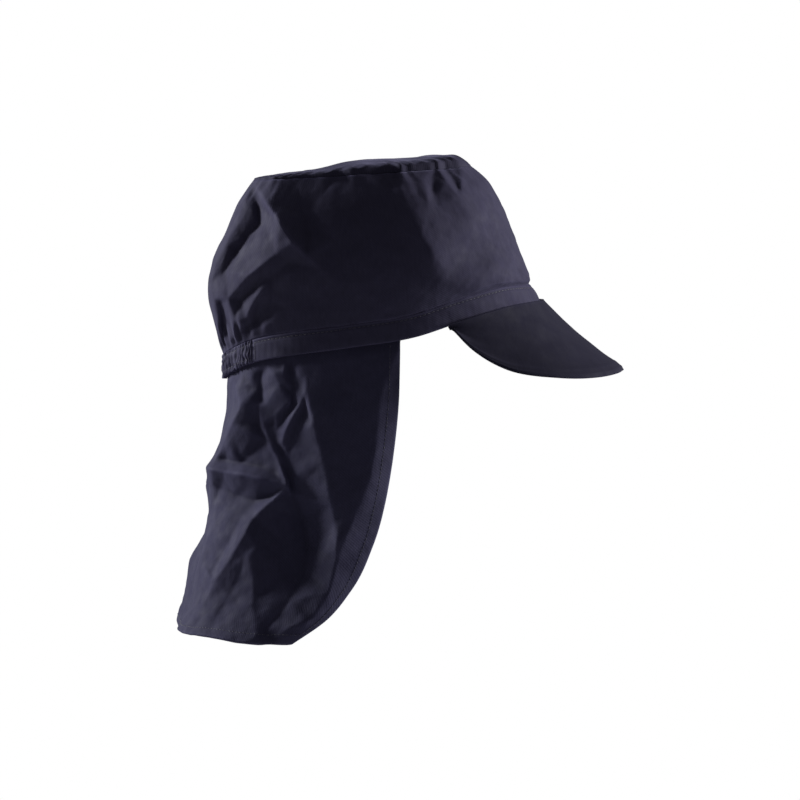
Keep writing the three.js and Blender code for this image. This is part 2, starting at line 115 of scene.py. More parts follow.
@dataclass(frozen=True)
class Crease:
    """A fold line with a nearly flat facet on each side.

    The path is a list of places on the cloth, and the height and the widths to its left and right
    are shares of the piece's own crease depth and width.
    """

    height: float
    left: float
    right: float
    path: tuple[tuple[float, float], ...]

    def relief(self, flat: Array, path: Array, depth: float, width: float, crest: float) -> Array:
        """Height of the crease over the plain cloth.

        Args:
            flat: places on the cloth as flat lengths.
            path: the crease's path in the same lengths.
            depth: the piece's crease depth.
            width: the piece's crease width.
            crest: how round the fold line is, as a share of the width.

        Returns:
            The height at each place.
        """
        fade_share = 0.32
        end_width = 0.4
        nearest = np.full(len(flat), np.inf)
        side = np.zeros(len(flat))
        along = np.zeros(len(flat))
        before = 0.0
        for start, end in zip(path[:-1], path[1:]):
            run = end - start
            off = flat - start
            length = float(np.hypot(*run))
            t = np.clip(off @ run / length**2, 0, 1)
            distance = np.hypot(*(off - t[:, None] * run).T)
            closer = distance < nearest
            nearest[closer] = distance[closer]
            side[closer] = (run[0] * off[:, 1] - run[1] * off[:, 0])[closer]
            along[closer] = before + t[closer] * length
            before += length
        share = along / before
        fade = ease(np.minimum(share, 1 - share) / fade_share)
        widths = width * np.where(side > 0, self.left, self.right) * (end_width + (1 - end_width) * fade)
        reach = np.minimum(nearest / widths, 1)
        soft = np.sqrt(reach**2 + crest**2) - crest
        return depth * self.height * np.maximum(0, 1 - soft) ** 1.3 * fade * (reach < 1)


def ease(t: Array) -> Array:
    """Smooth step from 0 to 1."""
    t = np.clip(t, 0, 1)
    return t * t * (3 - 2 * t)


def bell(t: Array, centre: float, width: float) -> Array:
    """Smooth bump of height 1 round a centre."""
    return np.exp(-(((t - centre) / width) ** 2))


def mix(a: Array, b: Array, t: Array) -> Array:
    """Value between a and b."""
    return a + (b - a) * t


def stack(x: Array, y: Array, z: Array) -> Array:
    """Points from their three coordinates."""
    return np.stack(np.broadcast_arrays(x, y, z), axis=-1)


def unit(vectors: Array) -> Array:
    """Vectors of length 1."""
    return vectors / (np.linalg.norm(vectors, axis=-1, keepdims=True) + 1e-12)


def grid(a: Array, b: Array) -> list[Array]:
    """The two places of each point of a grid, column by column."""
    return [places.ravel() for places in np.meshgrid(a, b, indexing="ij")]


def normals_of(surface: Surface, a: Array, b: Array) -> Array:
    """Outward unit normals of a surface given by its two places.

    Args:
        surface: the surface.
        a: first places.
        b: second places.

    Returns:
        One unit normal for each place.
    """
    step_a, step_b = 1e-3, 1e-4
    along_a = surface(a + step_a, b) - surface(a - step_a, b)
    along_b = surface(a, b + step_b) - surface(a, b - step_b)
    return unit(np.cross(along_b, along_a))


def ripple(x: Array, y: Array, seed: int, waves: int, long: float, short: float) -> Array:
    """Small seeded waves in all directions.

    Args:
        x: places along the cloth, mm.
        y: places across the cloth, mm.
        seed: which set of waves.
        waves: how many of them.
        long: the longest wave, mm.
        short: the shortest wave, mm.

    Returns:
        A height between about -1 and 1 at each place.
    """
    draw = np.random.default_rng(seed)
    total = np.zeros(np.broadcast(x, y).shape)
    for _ in range(waves):
        length = long * (short / long) ** draw.random()
        angle = draw.random() * math.tau
        phase = draw.random() * math.tau
        bend = 0.6 * np.sin((x * math.sin(angle) - y * math.cos(angle)) / (length * 1.7) + phase)
        total += np.sin((x * math.cos(angle) + y * math.sin(angle)) * math.tau / length + phase + bend)
    return total / math.sqrt(waves) / 1.4


CROWN_FOLDS: Folds = (
    # rear crease and its apex
    ((247, 174, 14), (255, 187, 16), (265, 203, 17), (279, 222, 17), (293, 243, 14.5), (306, 256, 8),
     (320, 269, 3.5), (345, 292, 0)),
    # lower fold of the bright facet, and the hollow below it
    ((293, 243, 14.5), (276, 254, 9), (262, 264, 8), (249, 275, 7.5), (238, 288, 6), (229, 299, 4)),
    ((306, 256, 8), (290, 263, 4), (270, 279, 1), (253, 289, -1), (240, 301, -2)),
    # dark wedge by the rear outline
    ((251, 186, 15), (246, 202, 15), (237, 224, 13), (226, 244, 12), (217, 262, 11), (208, 285, 9)),
    ((255, 193, 9), (260, 207, 2), (260, 224, -1), (247, 238, -2), (237, 251, -3), (225, 271, 0)),
    # inner line of the facet
    ((260, 207, 2), (265, 226, 4.5), (258, 248, 4), (249, 270, 4.5)),
    # lower rear
    ((262, 276, 2.5), (258, 294, 4), (246, 318, 4), (244, 326, 3.5)),
    ((272, 288, 1), (268, 304, -1), (256, 320, -2.5), (242, 333, -1)),
    ((284, 308, 0), (276, 316, 0.5), (262, 328, 1.5), (258, 342, 1.5)),
    ((229, 303, 5), (234, 320, 5), (233, 340, 4)),
    ((221, 302, 1), (224, 325, -4), (227, 352, -2)),
    ((214, 300, 8), (219, 325, 7), (223, 352, 4)),
    # middle
    ((322, 196, 1.5), (317, 212, 3), (314, 230, 1)),
    ((297, 186, 5), (302, 212, 3), (308, 234, 2)),
    ((330, 164, 4), (338, 171, 0), (345, 178, 1)),
    ((352, 165, 4), (352, 174, 2.5), (352, 186, 1)),
    ((384, 158, 1), (394, 165, -3), (396, 176, -1), (388, 190, -0.5)),
    # front pocket
    ((402, 158, 0), (401, 174, 2), (400, 188, 2), (405, 200, 0)),
    ((410, 180, -0.5), (418, 194, -1), (426, 202, 0)),
    ((433, 156, 2), (437, 165, 3.5), (447, 181, 4), (458, 195, 2.5)),
    ((438, 156, -1), (443, 166, -2.5), (452, 180, -2), (458, 190, 0)),
    ((457, 153, 4), (461, 168, 4), (461, 192, 2.5)),
    ((433, 178, -1.5), (434, 196, -2), (439, 207, -1)),
    ((425, 176, 1), (427, 190, 1), (428, 204, 0.5)),
    ((468, 168, 2), (475, 176, 0.5), (482, 186, 2)),
    ((512, 240, 1), (517, 256, 0), (519, 270, -3), (522, 282, -2)),
    ((524, 258, 3), (528, 272, 3), (531, 284, 1)),
    # quiet middle
    ((362, 205, 1.5), (366, 240, 0), (370, 270, 0)),
    ((334, 240, 2), (342, 262, 0.5), (372, 300, 0)),
    ((400, 216, 0), (420, 244, 0), (440, 282, 0)),
    ((470, 220, 0), (475, 245, 0), (478, 275, 0)),
    ((498, 215, 0), (505, 245, 0), (508, 270, 0)),
    # border: seam, band, and past the outlines
    ((247, 174, 14), (262, 170, 15), (280, 166, 12.5), (296, 163, 9), (312, 160, 5), (330, 158, 4),
     (352, 154, 3.5), (370, 150, 1), (384, 150, 1), (402, 149, 0), (418, 147, 0), (433, 147, 2),
     (438, 147, -1), (457, 146, 4), (480, 150, 2), (500, 165, 1), (520, 210, 1), (545, 270, 2)),
    ((190, 290, 10), (185, 250, 14), (200, 215, 12), (220, 190, 11), (247, 174, 14)),
    ((205, 365, 0), (245, 352, 0), (300, 341, 0), (350, 330, 0), (400, 318, 0), (450, 302, 0),
     (500, 290, 0), (545, 280, 0)),
    ((190, 290, 10), (198, 330, 6), (205, 365, 0)),
)
CROWN_BULGES: Folds = (
    ((384, 150, 0), (384, 190, 1), (390, 216, 1.5), (404, 244, 2), (424, 282, 1), (430, 310, 0)),
    ((402, 150, 3), (404, 176, 4), (406, 196, 5), (413, 216, 6), (424, 238, 9), (436, 258, 8),
     (450, 277, 3), (462, 300, 0)),
    ((440, 150, 3), (444, 190, 4), (446, 210, 4.5), (450, 236, 4.5), (452, 254, 3)),
    ((475, 150, 3), (474, 190, 4), (474, 214, 6), (470, 234, 5)),
    ((500, 170, 4), (498, 214, 5)),
    ((452, 256, 1.5), (466, 250, 0), (482, 246, -1.5), (498, 234, 0)),
    ((455, 266, 0.5), (474, 260, -1.5), (492, 256, 0)),
    ((455, 280, 4), (480, 275, 4), (500, 268, 4.5), (508, 254, 4)),
    ((330, 130, 0), (340, 230, 0), (360, 290, 0), (400, 340, 0), (470, 315, 0), (530, 290, 3),
     (570, 290, 3), (540, 200, 3), (500, 140, 3), (440, 130, 2), (390, 130, 0), (330, 130, 0)),
)
FLAP_BULGES: Folds = (
    ((350, 340, 0), (354, 420, 0), (350, 480, 0), (338, 520, 0), (300, 560, 0), (262, 600, 0),
     (250, 650, 0)),
    ((378, 350, 0), (378, 440, 1), (372, 472, 2), (362, 500, 2.5), (344, 528, 3), (320, 552, 3),
     (306, 578, 3), (288, 602, 3), (262, 615, 1.5), (258, 660, 1)),
    ((350, 340, 0), (378, 350, 0), (410, 350, -1), (414, 400, -2), (410, 470, -3), (398, 530, -4),
     (370, 590, -4), (335, 640, -3), (290, 660, -2), (258, 660, 1), (250, 650, 0)),
)
FLAP_FOLDS: Folds = (
    # long ridge from the band to the lower right, and the short one from its head
    ((305, 374, 1.5), (305, 392, 4.5), (313, 425, 6.5), (323, 462, 7.5), (331, 505, 8), (336, 533, 6.5),
     (337, 560, 6), (329, 592, 6.5), (312, 618, 6)),
    ((304, 380, 1.5), (301, 402, 3), (292, 417, 3), (285, 432, 2.2), (283, 442, 0)),
    # hollows on both sides of the short ridge
    ((306, 408, 0.5), (298, 424, -0.5), (291, 440, -1.5), (289, 458, -2), (291, 478, -2)),
    ((293, 392, -1), (292, 408, -2.5), (284, 420, -3), (278, 430, -2.5), (280, 446, -2)),
    # thin ridge
    ((258, 404, 2.5), (262, 424, 0.5), (268, 440, -0.5), (279, 461, 0), (288, 486, 4)),
    ((258, 424, -1), (264, 440, -2), (275, 461, -1.5)),
    ((270, 424, -2), (277, 440, -3), (287, 461, -2.5)),
    # facets left of it
    ((240, 404, 12), (231, 425, 14), (222, 444, 13.5)),
    ((257, 372, -1), (257, 390, 0), (257, 402, 2.5)),
    ((261, 372, -3), (262, 390, -2.5), (262, 402, -0.5)),
    ((235, 378, 4), (236, 390, 6.5)),
    # dark strip by the rear outline
    ((231, 384, 0), (232, 400, -2), (226, 424, -1), (221, 438, 3)),
    ((223, 386, 7), (219, 412, 9), (212, 440, 9)),
    # between the two upper slits
    ((272, 372, 2), (279, 385, 2.5), (291, 402, 1.5)),
    ((266, 404, 1), (276, 416, 0.5)),
    ((284, 358, 0.8), (284, 372, 1.5), (287, 385, 1.8)),
    ((291, 358, -2), (292, 372, -2), (294, 384, -1.5)),
    ((298, 358, 0.5), (299, 372, 0.5)),
    ((263, 357, 0.5), (266, 366, -0.6), (280, 367, -0.6)),
    ((246, 366, 1), (246, 380, 1.2)),
    ((242, 368, 2.5), (242, 384, 3.5)),
    ((251, 366, 1.5), (252, 384, 1.5)),
    ((240, 345, 0), (235, 362, 3)),
    # level ridge with a hollow above and below
    ((200, 466, 8), (212, 469, 9), (226, 472, 9.5), (242, 474, 9), (262, 479, 7), (276, 483, 5),
     (288, 486, 4)),
    ((206, 455, 9), (214, 459, 6), (226, 460, -0.5), (242, 463, -3), (262, 468, -3), (276, 474, -1.5)),
    ((204, 484, 7), (212, 486, 1), (222, 489, -4.5), (238, 496, -8), (256, 501, -8), (273, 497, -4.5)),
    # short ridge down to the crest
    ((288, 486, 4), (270, 501, 1), (252, 518, 3.5)),
    # crest to the lower left corner
    ((252, 518, 3.5), (246, 530, 7.5), (232, 553, 9), (214, 582, 9.5), (201, 607, 9), (188, 626, 8),
     (180, 640, 7)),
    ((240, 519, 0.5), (234, 533, 2.5), (224, 553, 4), (212, 572, 5.5)),
    ((213, 508, 1), (204, 540, 7.5), (201, 560, 8), (212, 580, 9.5)),
    ((198, 560, 6), (194, 600, 6)),
    ((214, 622, 2), (226, 602, 2.5), (239, 578, 3), (247, 552, 4.5)),
    # ridge down to the hem
    ((255, 520, 2.5), (254, 545, 3.5), (253, 575, 3), (253, 605, 2), (256, 640, 1)),
    # long hollow beside the dark core
    ((288, 486, 4), (294, 496, -5), (303, 520, -12), (308, 545, -12), (303, 575, -9), (290, 600, -3)),
    ((270, 510, -0.5), (280, 540, -5), (280, 575, -4)),
    # plateau and right part
    ((352, 370, 3), (354, 420, 7), (354, 470, 8.5), (346, 505, 9)),
    ((324, 380, 3), (334, 420, 7), (340, 460, 8.5)),
    ((380, 400, 6.5), (377, 440, 8), (370, 478, 8.5), (354, 515, 8), (336, 533, 6.5)),
    ((306, 622, 7), (286, 628, 4), (266, 630, -1)),
    # border
    ((205, 350, 0), (245, 345, 0), (300, 338, 0), (350, 328, 0), (410, 320, 0), (416, 400, -1),
     (412, 470, -2), (400, 530, -3), (372, 590, -2), (335, 640, 2), (290, 665, 4), (256, 660, -1),
     (200, 655, 2), (165, 645, 6)),
    ((205, 350, 0), (200, 400, 6), (196, 440, 8), (190, 466, 7.5), (186, 500, 8), (180, 540, 9),
     (172, 580, 9), (160, 620, 6), (165, 645, 6)),
)


@dataclass(frozen=True)
class SideDrawing:
    """The cap's right side from far off: its folds are laid out on it, and the camera sees it.

    Its places are counted in steps, rightwards and downwards. The origin is the frame's.
    """

    distance: float = 5000.0
    tilt: float = 2.5
    step: float = 0.62
    steps: float = 800.0
    origin: Pair = (382, 335)

    @property
    def centre(self) -> Pair:
        """The middle of the drawing, across and up, mm."""
        return self.placed(self.steps / 2, self.steps / 2)

    @property
    def towards(self) -> Array:
        """The direction out of the drawing."""
        return np.array([0.0, -math.cos(math.radians(self.tilt)), math.sin(math.radians(self.tilt))])

    def placed(self, right: float, down: float) -> Pair:
        """A place of the drawing, across and up, mm."""
        return round((right - self.origin[0]) * self.step, 1), round((self.origin[1] - down) * self.step, 1)

    def places(self, points: Array) -> Array:
        """Where points fall on the drawing, across and up, mm.

        Args:
            points: points in mm.

        Returns:
            Two numbers for each point.
        """
        tilt = math.radians(self.tilt)
        grow = self.distance / (self.distance - points @ self.towards)
        across = points[:, 0] - self.centre[0]
        up = points[:, 2] * math.cos(tilt) + points[:, 1] * math.sin(tilt) - self.centre[1]
        return np.stack([self.centre[0] + across * grow, self.centre[1] + up * grow], axis=1)


DRAWING = SideDrawing()


@dataclass(frozen=True)
class FoldNet:
    """Flat facets between fold lines, each a row of places on the drawing with a height in mm."""

    lines: Folds
    rounding: float = 0.9

    def facets(self) -> tuple[Array, Array]:
        """Corners of the net, and the three corner numbers of each facet.

        Returns:
            Corners with their heights, and corner numbers.
        """
        nodes: dict[Pair, float] = {}
        for line in self.lines:
            for right, down, height in line:
                nodes.setdefault(DRAWING.placed(right, down), height)
        places = list(nodes)
        number = {place: i for i, place in enumerate(places)}
        rows = [[number[DRAWING.placed(*point[:2])] for point in line] for line in self.lines]
        edges = [edge for row in rows for edge in zip(row[:-1], row[1:])]
        flat = [Vector(place) for place in places]
        corners, _, faces, origins, _, _ = geometry.delaunay_2d_cdt(flat, edges, [], 0, 1e-4)
        at = np.array(places)
        heights = np.array([nodes[place] for place in places])
        found = []
        for corner, origin in zip(corners, origins):
            if origin:
                height = heights[origin[0]]
            else:  # two lines cross here
                distance = np.hypot(*(at - np.array(corner)).T) + 1e-6
                nearest = np.argsort(distance)[:4]
                weight = 1 / distance[nearest]
                height = float((heights[nearest] * weight).sum() / weight.sum())
            found.append((*corner, height))
        return np.array(found), np.array([face for face in faces if len(face) == 3])

    def heights(self, places: Array) -> Array:
        """Heights of the folds at places on the drawing, with the fold lines slightly rounded.

        Args:
            places: places across and up, mm.

        Returns:
            A height in mm for each place, 0 outside the net.
        """
        corners, facets = self.facets()
        turns = np.arange(6) * math.tau / 6
        rings = (0.5 * self.rounding, self.rounding) if self.rounding > 2 else (self.rounding,)
        offsets = [(0.0, 0.0)] + [(r * math.cos(t), r * math.sin(t)) for r in rings for t in turns]
        total = np.zeros(len(places))
        for offset in offsets:
            here = places + np.array(offset)
            for facet in facets:
                (ax, ay, ah), (bx, by, bh), (cx, cy, ch) = corners[facet]
                inside = np.flatnonzero(
                    (here[:, 0] >= min(ax, bx, cx)) & (here[:, 0] < max(ax, bx, cx))
                    & (here[:, 1] >= min(ay, by, cy)) & (here[:, 1] < max(ay, by, cy))
                )
                if not len(inside):
                    continue
                x, y = here[inside].T
                area = (by - cy) * (ax - cx) + (cx - bx) * (ay - cy)
                if abs(area) < 1e-9:
                    continue
                s = ((by - cy) * (x - cx) + (cx - bx) * (y - cy)) / area
                t = ((cy - ay) * (x - cx) + (ax - cx) * (y - cy)) / area
                hit = (s >= 0) & (t >= 0) & (s + t < 1)
                total[inside[hit]] += (s * ah + t * bh + (1 - s - t) * ch)[hit]
        return total / len(offsets)


@dataclass(frozen=True)
class HeadOpening:
    """The oval lower edge of the band and the band that stands on it."""

    length: float = 196.0
    width: float = 158.0
    rise: float = 46.8
    low: float = 26.5
    band_height: float = 13.5
    band_height_front: float = 13.0
    band_thickness: float = 2.4
    band_proud: float = 0.5
    band_lean: float = 7.0
    casing_length: float = 104.0
    rises: Table = Table(
        ("turn", "rise"),
        ((0, 1), (42, 0.94), (61, 0.79), (78, 0.605), (102, 0.465), (142, 0.262), (167, 0.066), (180, 0)),
    )

    @property
    def inset(self) -> float:
        """How far inside the rim a piece lies that is tucked into the band."""
        return self.band_thickness - self.band_proud + GAP

    @property
    def flat_arc(self) -> float:
        """Length along the cloth for one degree of turn."""
        return math.radians(1) * (self.length + self.width) / 4

    def front_share(self, turn: Array) -> Array:
        """1 at the front, where the peak is sewn on, and 0 at the sides and the back."""
        return ease((np.cos(np.radians(turn)) - 0.3) / 0.5)

    def rim(self, turn: Array) -> Array:
        """Points of the lower edge, at turns in degrees from the front over the wearer's right.

        Args:
            turn: turns in degrees.

        Returns:
            Points in mm.
        """
        angle = np.radians(turn)
        folded = np.abs((turn + 180) % 360 - 180)
        z = self.rise * self.rises.at("rise", folded) - self.low
        return stack(self.length / 2 * np.cos(angle), -self.width / 2 * np.sin(angle), z)

    def band_top(self, turn: Array) -> Array:
        """Points of the seam between the band and the crown.

        Args:
            turn: turns in degrees.

        Returns:
            Points in mm.
        """
        front = (1 + np.cos(np.radians(turn))) / 2
        lean = self.band_lean * front**3
        height = mix(self.band_height, self.band_height_front, front**2)
        return self.rim(turn) + stack(-lean, 0 * lean, np.sqrt(height**2 - lean**2))

    def band(self, turn: Array, up: Array) -> Array:
        """Points on the band, up from 0 at the rim to 1 at the crown."""
        return mix(self.rim(turn), self.band_top(turn), np.asarray(up)[..., None])

    def tuck(self, turn: Array, up: Array) -> Array:
        """Points just inside the band, where the flap is sewn in."""
        return self.band(turn, up) - normals_of(self.band, turn, up) * self.inset

    def turn_of_length(self, length: float, from_back: bool) -> float:
        """Half angle that a length along the rim covers, counted from the front or the back.

        Args:
            length: the length in mm.
            from_back: whether it is counted from the back.

        Returns:
            The angle in degrees.
        """
        step = 0.05
        turns = np.arange(0, 180, step)
        angle = np.radians(180 - turns if from_back else turns)
        speed = np.hypot(self.length / 2 * np.sin(angle), self.width / 2 * np.cos(angle))
        steps = speed * math.radians(step)
        return float(turns[np.searchsorted(np.cumsum(steps), length / 2)])


OPENING = HeadOpening()
CASING_TURN = OPENING.turn_of_length(OPENING.casing_length, True)


NOISE_ENDS = (0.3, 0.7)  # nearly all of a noise lies between these


class Nodes:
    """The nodes of one material or world."""

    def __init__(self, owner: Material | bpy.types.World) -> None:
        """Start from the owner's own nodes."""
        owner.use_nodes = True
        self.tree = owner.node_tree

    def fill(self, node: bpy.types.Node, inputs: Inputs) -> None:
        """Set or link a node's inputs.

        Args:
            node: the node.
            inputs: a socket to link, or a value to set, for each input's name or number.
        """
        for name, value in inputs.items():
            if isinstance(value, Socket):
                self.tree.links.new(value, node.inputs[name])
            else:
                node.inputs[name].default_value = value

    def add(self, kind: str, inputs: Inputs, **settings: object) -> bpy.types.NodeOutputs:
        """Add a node.

        Args:
            kind: the shader node's type.
            inputs: what goes into it.
            settings: the node's own settings.

        Returns:
            The node's outputs.
        """
        node = self.tree.nodes.new("ShaderNode" + kind)
        for name, value in settings.items():
            setattr(node, name, value)
        self.fill(node, inputs)
        return node.outputs

    def times(self, a: Socket, b: Socket | float) -> Socket:
        """The product of two values."""
        return self.add("Math", {0: a, 1: b}, operation="MULTIPLY")["Value"]

    def spread(self, value: Socket, low: float, high: float, ends: Pair = NOISE_ENDS) -> Socket:
        """A value moved from between its ends to between low and high."""
        limits = {"From Min": ends[0], "From Max": ends[1], "To Min": low, "To Max": high}
        return self.add("MapRange", {"Value": value, **limits})["Result"]

    def noise(self, scale: float, detail: float, where: Socket) -> Socket:
        """A noise at waves per metre."""
        return self.add("TexNoise", {"Scale": scale, "Detail": detail, "Vector": where})["Fac"]

    def bumps(self, *layers: tuple[Socket, float, float]) -> Socket:
        """Lay bumps over each other.

        Args:
            layers: height field, strength and distance in metres of each bump, the lowest first.

        Returns:
            The normal over them.
        """
        under: Inputs = {}
        for height, strength, distance in layers:
            inputs = {"Height": height, "Strength": strength, "Distance": distance, **under}
            under = {"Normal": self.add("Bump", inputs)["Normal"]}
        return under["Normal"]


@dataclass(frozen=True)
class TwillCloth:
    """Dyed cotton twill: diagonal ribs, slubs, lighter worn ridges with painted shade in the hollows of
    creases, and a soft sheen.
    """

    name: str
    tone: Tone
    rib: float = 0.9
    rib_bump: float = 0.12
    # fade: strength of the pointiness mark, with lighter worn ridges and painted shade in creases and
    # hollows
    fade: float = 0.5
    crumple: float = 0.25
    roughness: float = 0.82
    sheen: float = 0.08

    def material(self) -> Material:
        """The node material of this cloth.

        Returns:
            The new material.
        """
        material = bpy.data.materials.new(self.name)
        nodes = Nodes(material)
        cloth = nodes.add("UVMap", {}, uv_map="cloth")["UV"]
        where = nodes.add("TexCoord", {})["Object"]
        slubs = nodes.add("Mapping", {"Vector": cloth, "Scale": (1, 0.18, 1)})["Vector"]
        scale = 0.36 / (self.rib * MM)
        wave = {"Vector": cloth, "Scale": scale, "Distortion": 0.8, "Detail": 2, "Detail Scale": 2.5}
        ribs = nodes.add("TexWave", wave, wave_type="BANDS", bands_direction="DIAGONAL")["Fac"]
        ridges_and_hollows = nodes.add("NewGeometry", {})["Pointiness"]

        mottle = nodes.spread(nodes.noise(38, 5, where), 0.92, 1.08)
        streaks = nodes.spread(nodes.noise(950, 3, slubs), 0.93, 1.08)
        rib_light = nodes.spread(ribs, 0.9, 1.1, (0, 1))
        # convex ridges lightened as wear, concave creases and hollows darkened as painted shade
        wear_and_hollow_shade = nodes.spread(ridges_and_hollows, 1 - 0.35 * self.fade, 1 + 0.7 * self.fade, (0.47, 0.56))
        light = nodes.times(nodes.times(mottle, streaks), nodes.times(rib_light, wear_and_hollow_shade))
        gray = nodes.add("CombineColor", dict.fromkeys(("Red", "Green", "Blue"), light))["Color"]
        tint = {"Factor": 1, "A": (*self.tone.value, 1), "B": gray}
        crumple = nodes.noise(70, 6, where), self.crumple, 0.004
        threads = nodes.noise(1500, 2, slubs), 0.12, 0.0003
        twill = ribs, self.rib_bump, 0.0004
        low, high = self.roughness - 0.08, self.roughness + 0.08
        nodes.fill(nodes.tree.nodes["Principled BSDF"], {
            "Base Color": nodes.add("Mix", tint, data_type="RGBA", blend_type="MULTIPLY")["Result"],
            "Roughness": nodes.spread(nodes.noise(120, 4, where), low, high),
            "Normal": nodes.bumps(crumple, threads, twill),
            "Sheen Weight": self.sheen,
            "Sheen Roughness": 0.45,
            "Sheen Tint": (0.62, 0.6, 1.0, 1.0),
            "Specular IOR Level": 0.15,
        })
        return material


@dataclass(frozen=True)
class SewingThread:
    """Navy polyester thread: a little lighter and glossier than the cloth."""

    name: str = "navy_thread"
    colour: tuple[float, float, float] = (0.034, 0.032, 0.06)

    def material(self) -> Material:
        """The node material of the thread.

        Returns:
            The new material.
        """
        material = bpy.data.materials.new(self.name)
        nodes = Nodes(material)
        where = nodes.add("TexCoord", {})["Object"]
        noise = nodes.add("TexNoise", {"Scale": 400, "Vector": where})["Fac"]
        ramp = nodes.tree.nodes.new("ShaderNodeValToRGB")
        for element, share in zip(ramp.color_ramp.elements, (0.7, 1.25)):
            element.color = (*(c * share for c in self.colour), 1)
        nodes.fill(ramp, {"Fac": noise})
        finish = {"Base Color": ramp.outputs["Color"], "Sheen Weight": 0.2, "Roughness": 0.55}
        nodes.fill(nodes.tree.nodes["Principled BSDF"], finish)
        return material


def placed_object(name: str, data: bpy.types.ID) -> Object:
    """A new object of the scene that holds some data.

    Args:
        name: the object's name.
        data: its mesh, lamp or camera.

    Returns:
        The object.
    """
    made = bpy.data.objects.new(name, data)
    bpy.context.scene.collection.objects.link(made)
    return made


def mesh_object(name: str, points: Array, faces: Faces, uvs: Array | None = None) -> Object:
    """Make an object from points in millimetres.

    Args:
        name: the object's name.
        points: one row for each vertex.
        faces: vertex numbers of each face.
        uvs: flat cloth place of each vertex in millimetres, or None.

    Returns:
        The new object, smooth shaded and linked to the scene.
    """
    mesh = bpy.data.meshes.new(name)
    mesh.from_pydata((points * MM).tolist(), [], [list(map(int, f)) for f in faces])
    mesh.polygons.foreach_set("use_smooth", np.ones(len(mesh.polygons), dtype=bool))
    if uvs is not None:
        layer = mesh.uv_layers.new(name="cloth")
        corners = np.empty(len(mesh.loops), dtype=np.int32)
        mesh.loops.foreach_get("vertex_index", corners)
        layer.data.foreach_set("uv", (uvs[corners] * MM).ravel())
    mesh.update()
    return placed_object(name, mesh)


def point_out(points: Array, faces: Array) -> Array:
    """Faces turned so that they point out of the closed body.

    Args:
        points: the body's vertices.
        faces: vertex numbers of each face.

    Returns:
        The same faces, all kept or all reversed.
    """
    a, b, c = points[faces[:, 0]], points[faces[:, 1]], points[faces[:, 2]]
    volume = np.einsum("ij,ij->i", a, np.cross(b, c)).sum()
    if faces.shape[1] == 4:
        d = points[faces[:, 3]]
        volume += np.einsum("ij,ij->i", a, np.cross(c, d)).sum()
    return faces if volume > 0 else faces[:, ::-1]


def shell_faces(columns: int, rows: int, run: Run) -> Array:
    """Faces of a closed cloth shell between an outer and an inner grid.

    Args:
        columns: columns of each grid.
        rows: rows of each grid.
        run: whether the columns run all round.

    Returns:
        Four vertex numbers for each face.
    """
    spans = columns if run is Run.ROUND else columns - 1
    k, r = np.arange(spans), np.arange(rows - 1)
    i, j = grid(k, r)
    end, top = columns - 1, rows - 1

    def quads(*corners: tuple[int, Array | int, Array | int]) -> Array:
        """Faces from their four corners, each given as layer, columns and rows."""
        numbers = [(layer * columns + column % columns) * rows + row for layer, column, row in corners]
        return np.stack(np.broadcast_arrays(*numbers), 1)

    parts = [
        quads((0, i, j), (0, i, j + 1), (0, i + 1, j + 1), (0, i + 1, j)),
        quads((1, i, j), (1, i + 1, j), (1, i + 1, j + 1), (1, i, j + 1)),
        quads((0, k, 0), (0, k + 1, 0), (1, k + 1, 0), (1, k, 0)),
        quads((0, k, top), (1, k, top), (1, k + 1, top), (0, k + 1, top)),
    ]
    if run is Run.OPEN:
        parts.append(quads((0, 0, r), (1, 0, r), (1, 0, r + 1), (0, 0, r + 1)))
        parts.append(quads((0, end, r), (0, end, r + 1), (1, end, r + 1), (1, end, r)))
    return np.concatenate(parts)


def finish_piece(piece: Object, material: Material, slot: str, *nodes: str) -> None:
    """Give a piece its material and body, and hide the solids that it stands for.

    Args:
        piece: the object.
        material: its material.
        slot: not used.
        nodes: names of the solids that it replaces.
    """
    piece.data.materials.append(material)
    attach(piece, "root")
    if nodes:
        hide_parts(*nodes)
    LOG.info("%s: %d faces", piece.name, len(piece.data.polygons))


@dataclass(frozen=True)
class Stitches:
    """A row of lockstitches laid on a cloth, each a short sunken capsule of thread.

    A stitch starts at the first share of the pitch and takes up another share of it. Its middle
    rises and its ends sink by shares of its radius.
    """

    pitch: float = 2.9
    first: float = 0.13
    share: float = 0.74
    radius: float = 0.24
    rise: float = 0.7
    sink: float = 0.15
    step: float = 0.1
    sides: int = 6

    def mesh(self, name: str, path: Array, outward: Array) -> Object:
        """One mesh of all the stitches.

        Args:
            name: the object's name.
            path: points along the row, mm.
            outward: the cloth's normal at each point.

        Returns:
            The object of the joined stitches.
        """
        steps = np.linalg.norm(np.diff(path, axis=0), axis=1)
        run = np.concatenate([[0], np.cumsum(steps)])
        profile = ((0, 0.25, 0.0), (0.12, 0.85, 0.7), (0.5, 1, 1), (0.88, 0.85, 0.7), (1, 0.25, 0.0))

        def along(rows: Array, at: float) -> Array:
            """The row's point or normal at a length along it."""
            return np.array([np.interp(at, run, rows[:, axis]) for axis in range(3)])

        points, faces = [], []
        for k in range(int(run[-1] // self.pitch)):
            start = len(points)
            for share, girth, lift in profile:
                at = (k + self.first + share * self.share) * self.pitch
                centre = along(path, at)
                normal = unit(along(outward, at))
                across = np.cross(normal, unit(along(path, at + self.step) - centre))
                centre = centre + normal * self.radius * (lift * self.rise - self.sink)
                for s in range(self.sides):
                    turn = math.tau * s / self.sides
                    ring = across * math.cos(turn) + normal * math.sin(turn)
                    points.append(centre + ring * self.radius * girth)
            rings = len(profile)
            for ring in range(rings - 1):
                for s in range(self.sides):
                    low, high = start + ring * self.sides, start + (ring + 1) * self.sides
                    after = (s + 1) % self.sides
                    faces.append((low + s, high + s, high + after, low + after))
            faces.append(tuple(start + s for s in range(self.sides)))
            faces.append(tuple(start + (rings - 1) * self.sides + s for s in reversed(range(self.sides))))
        return mesh_object(name, np.array(points), faces)


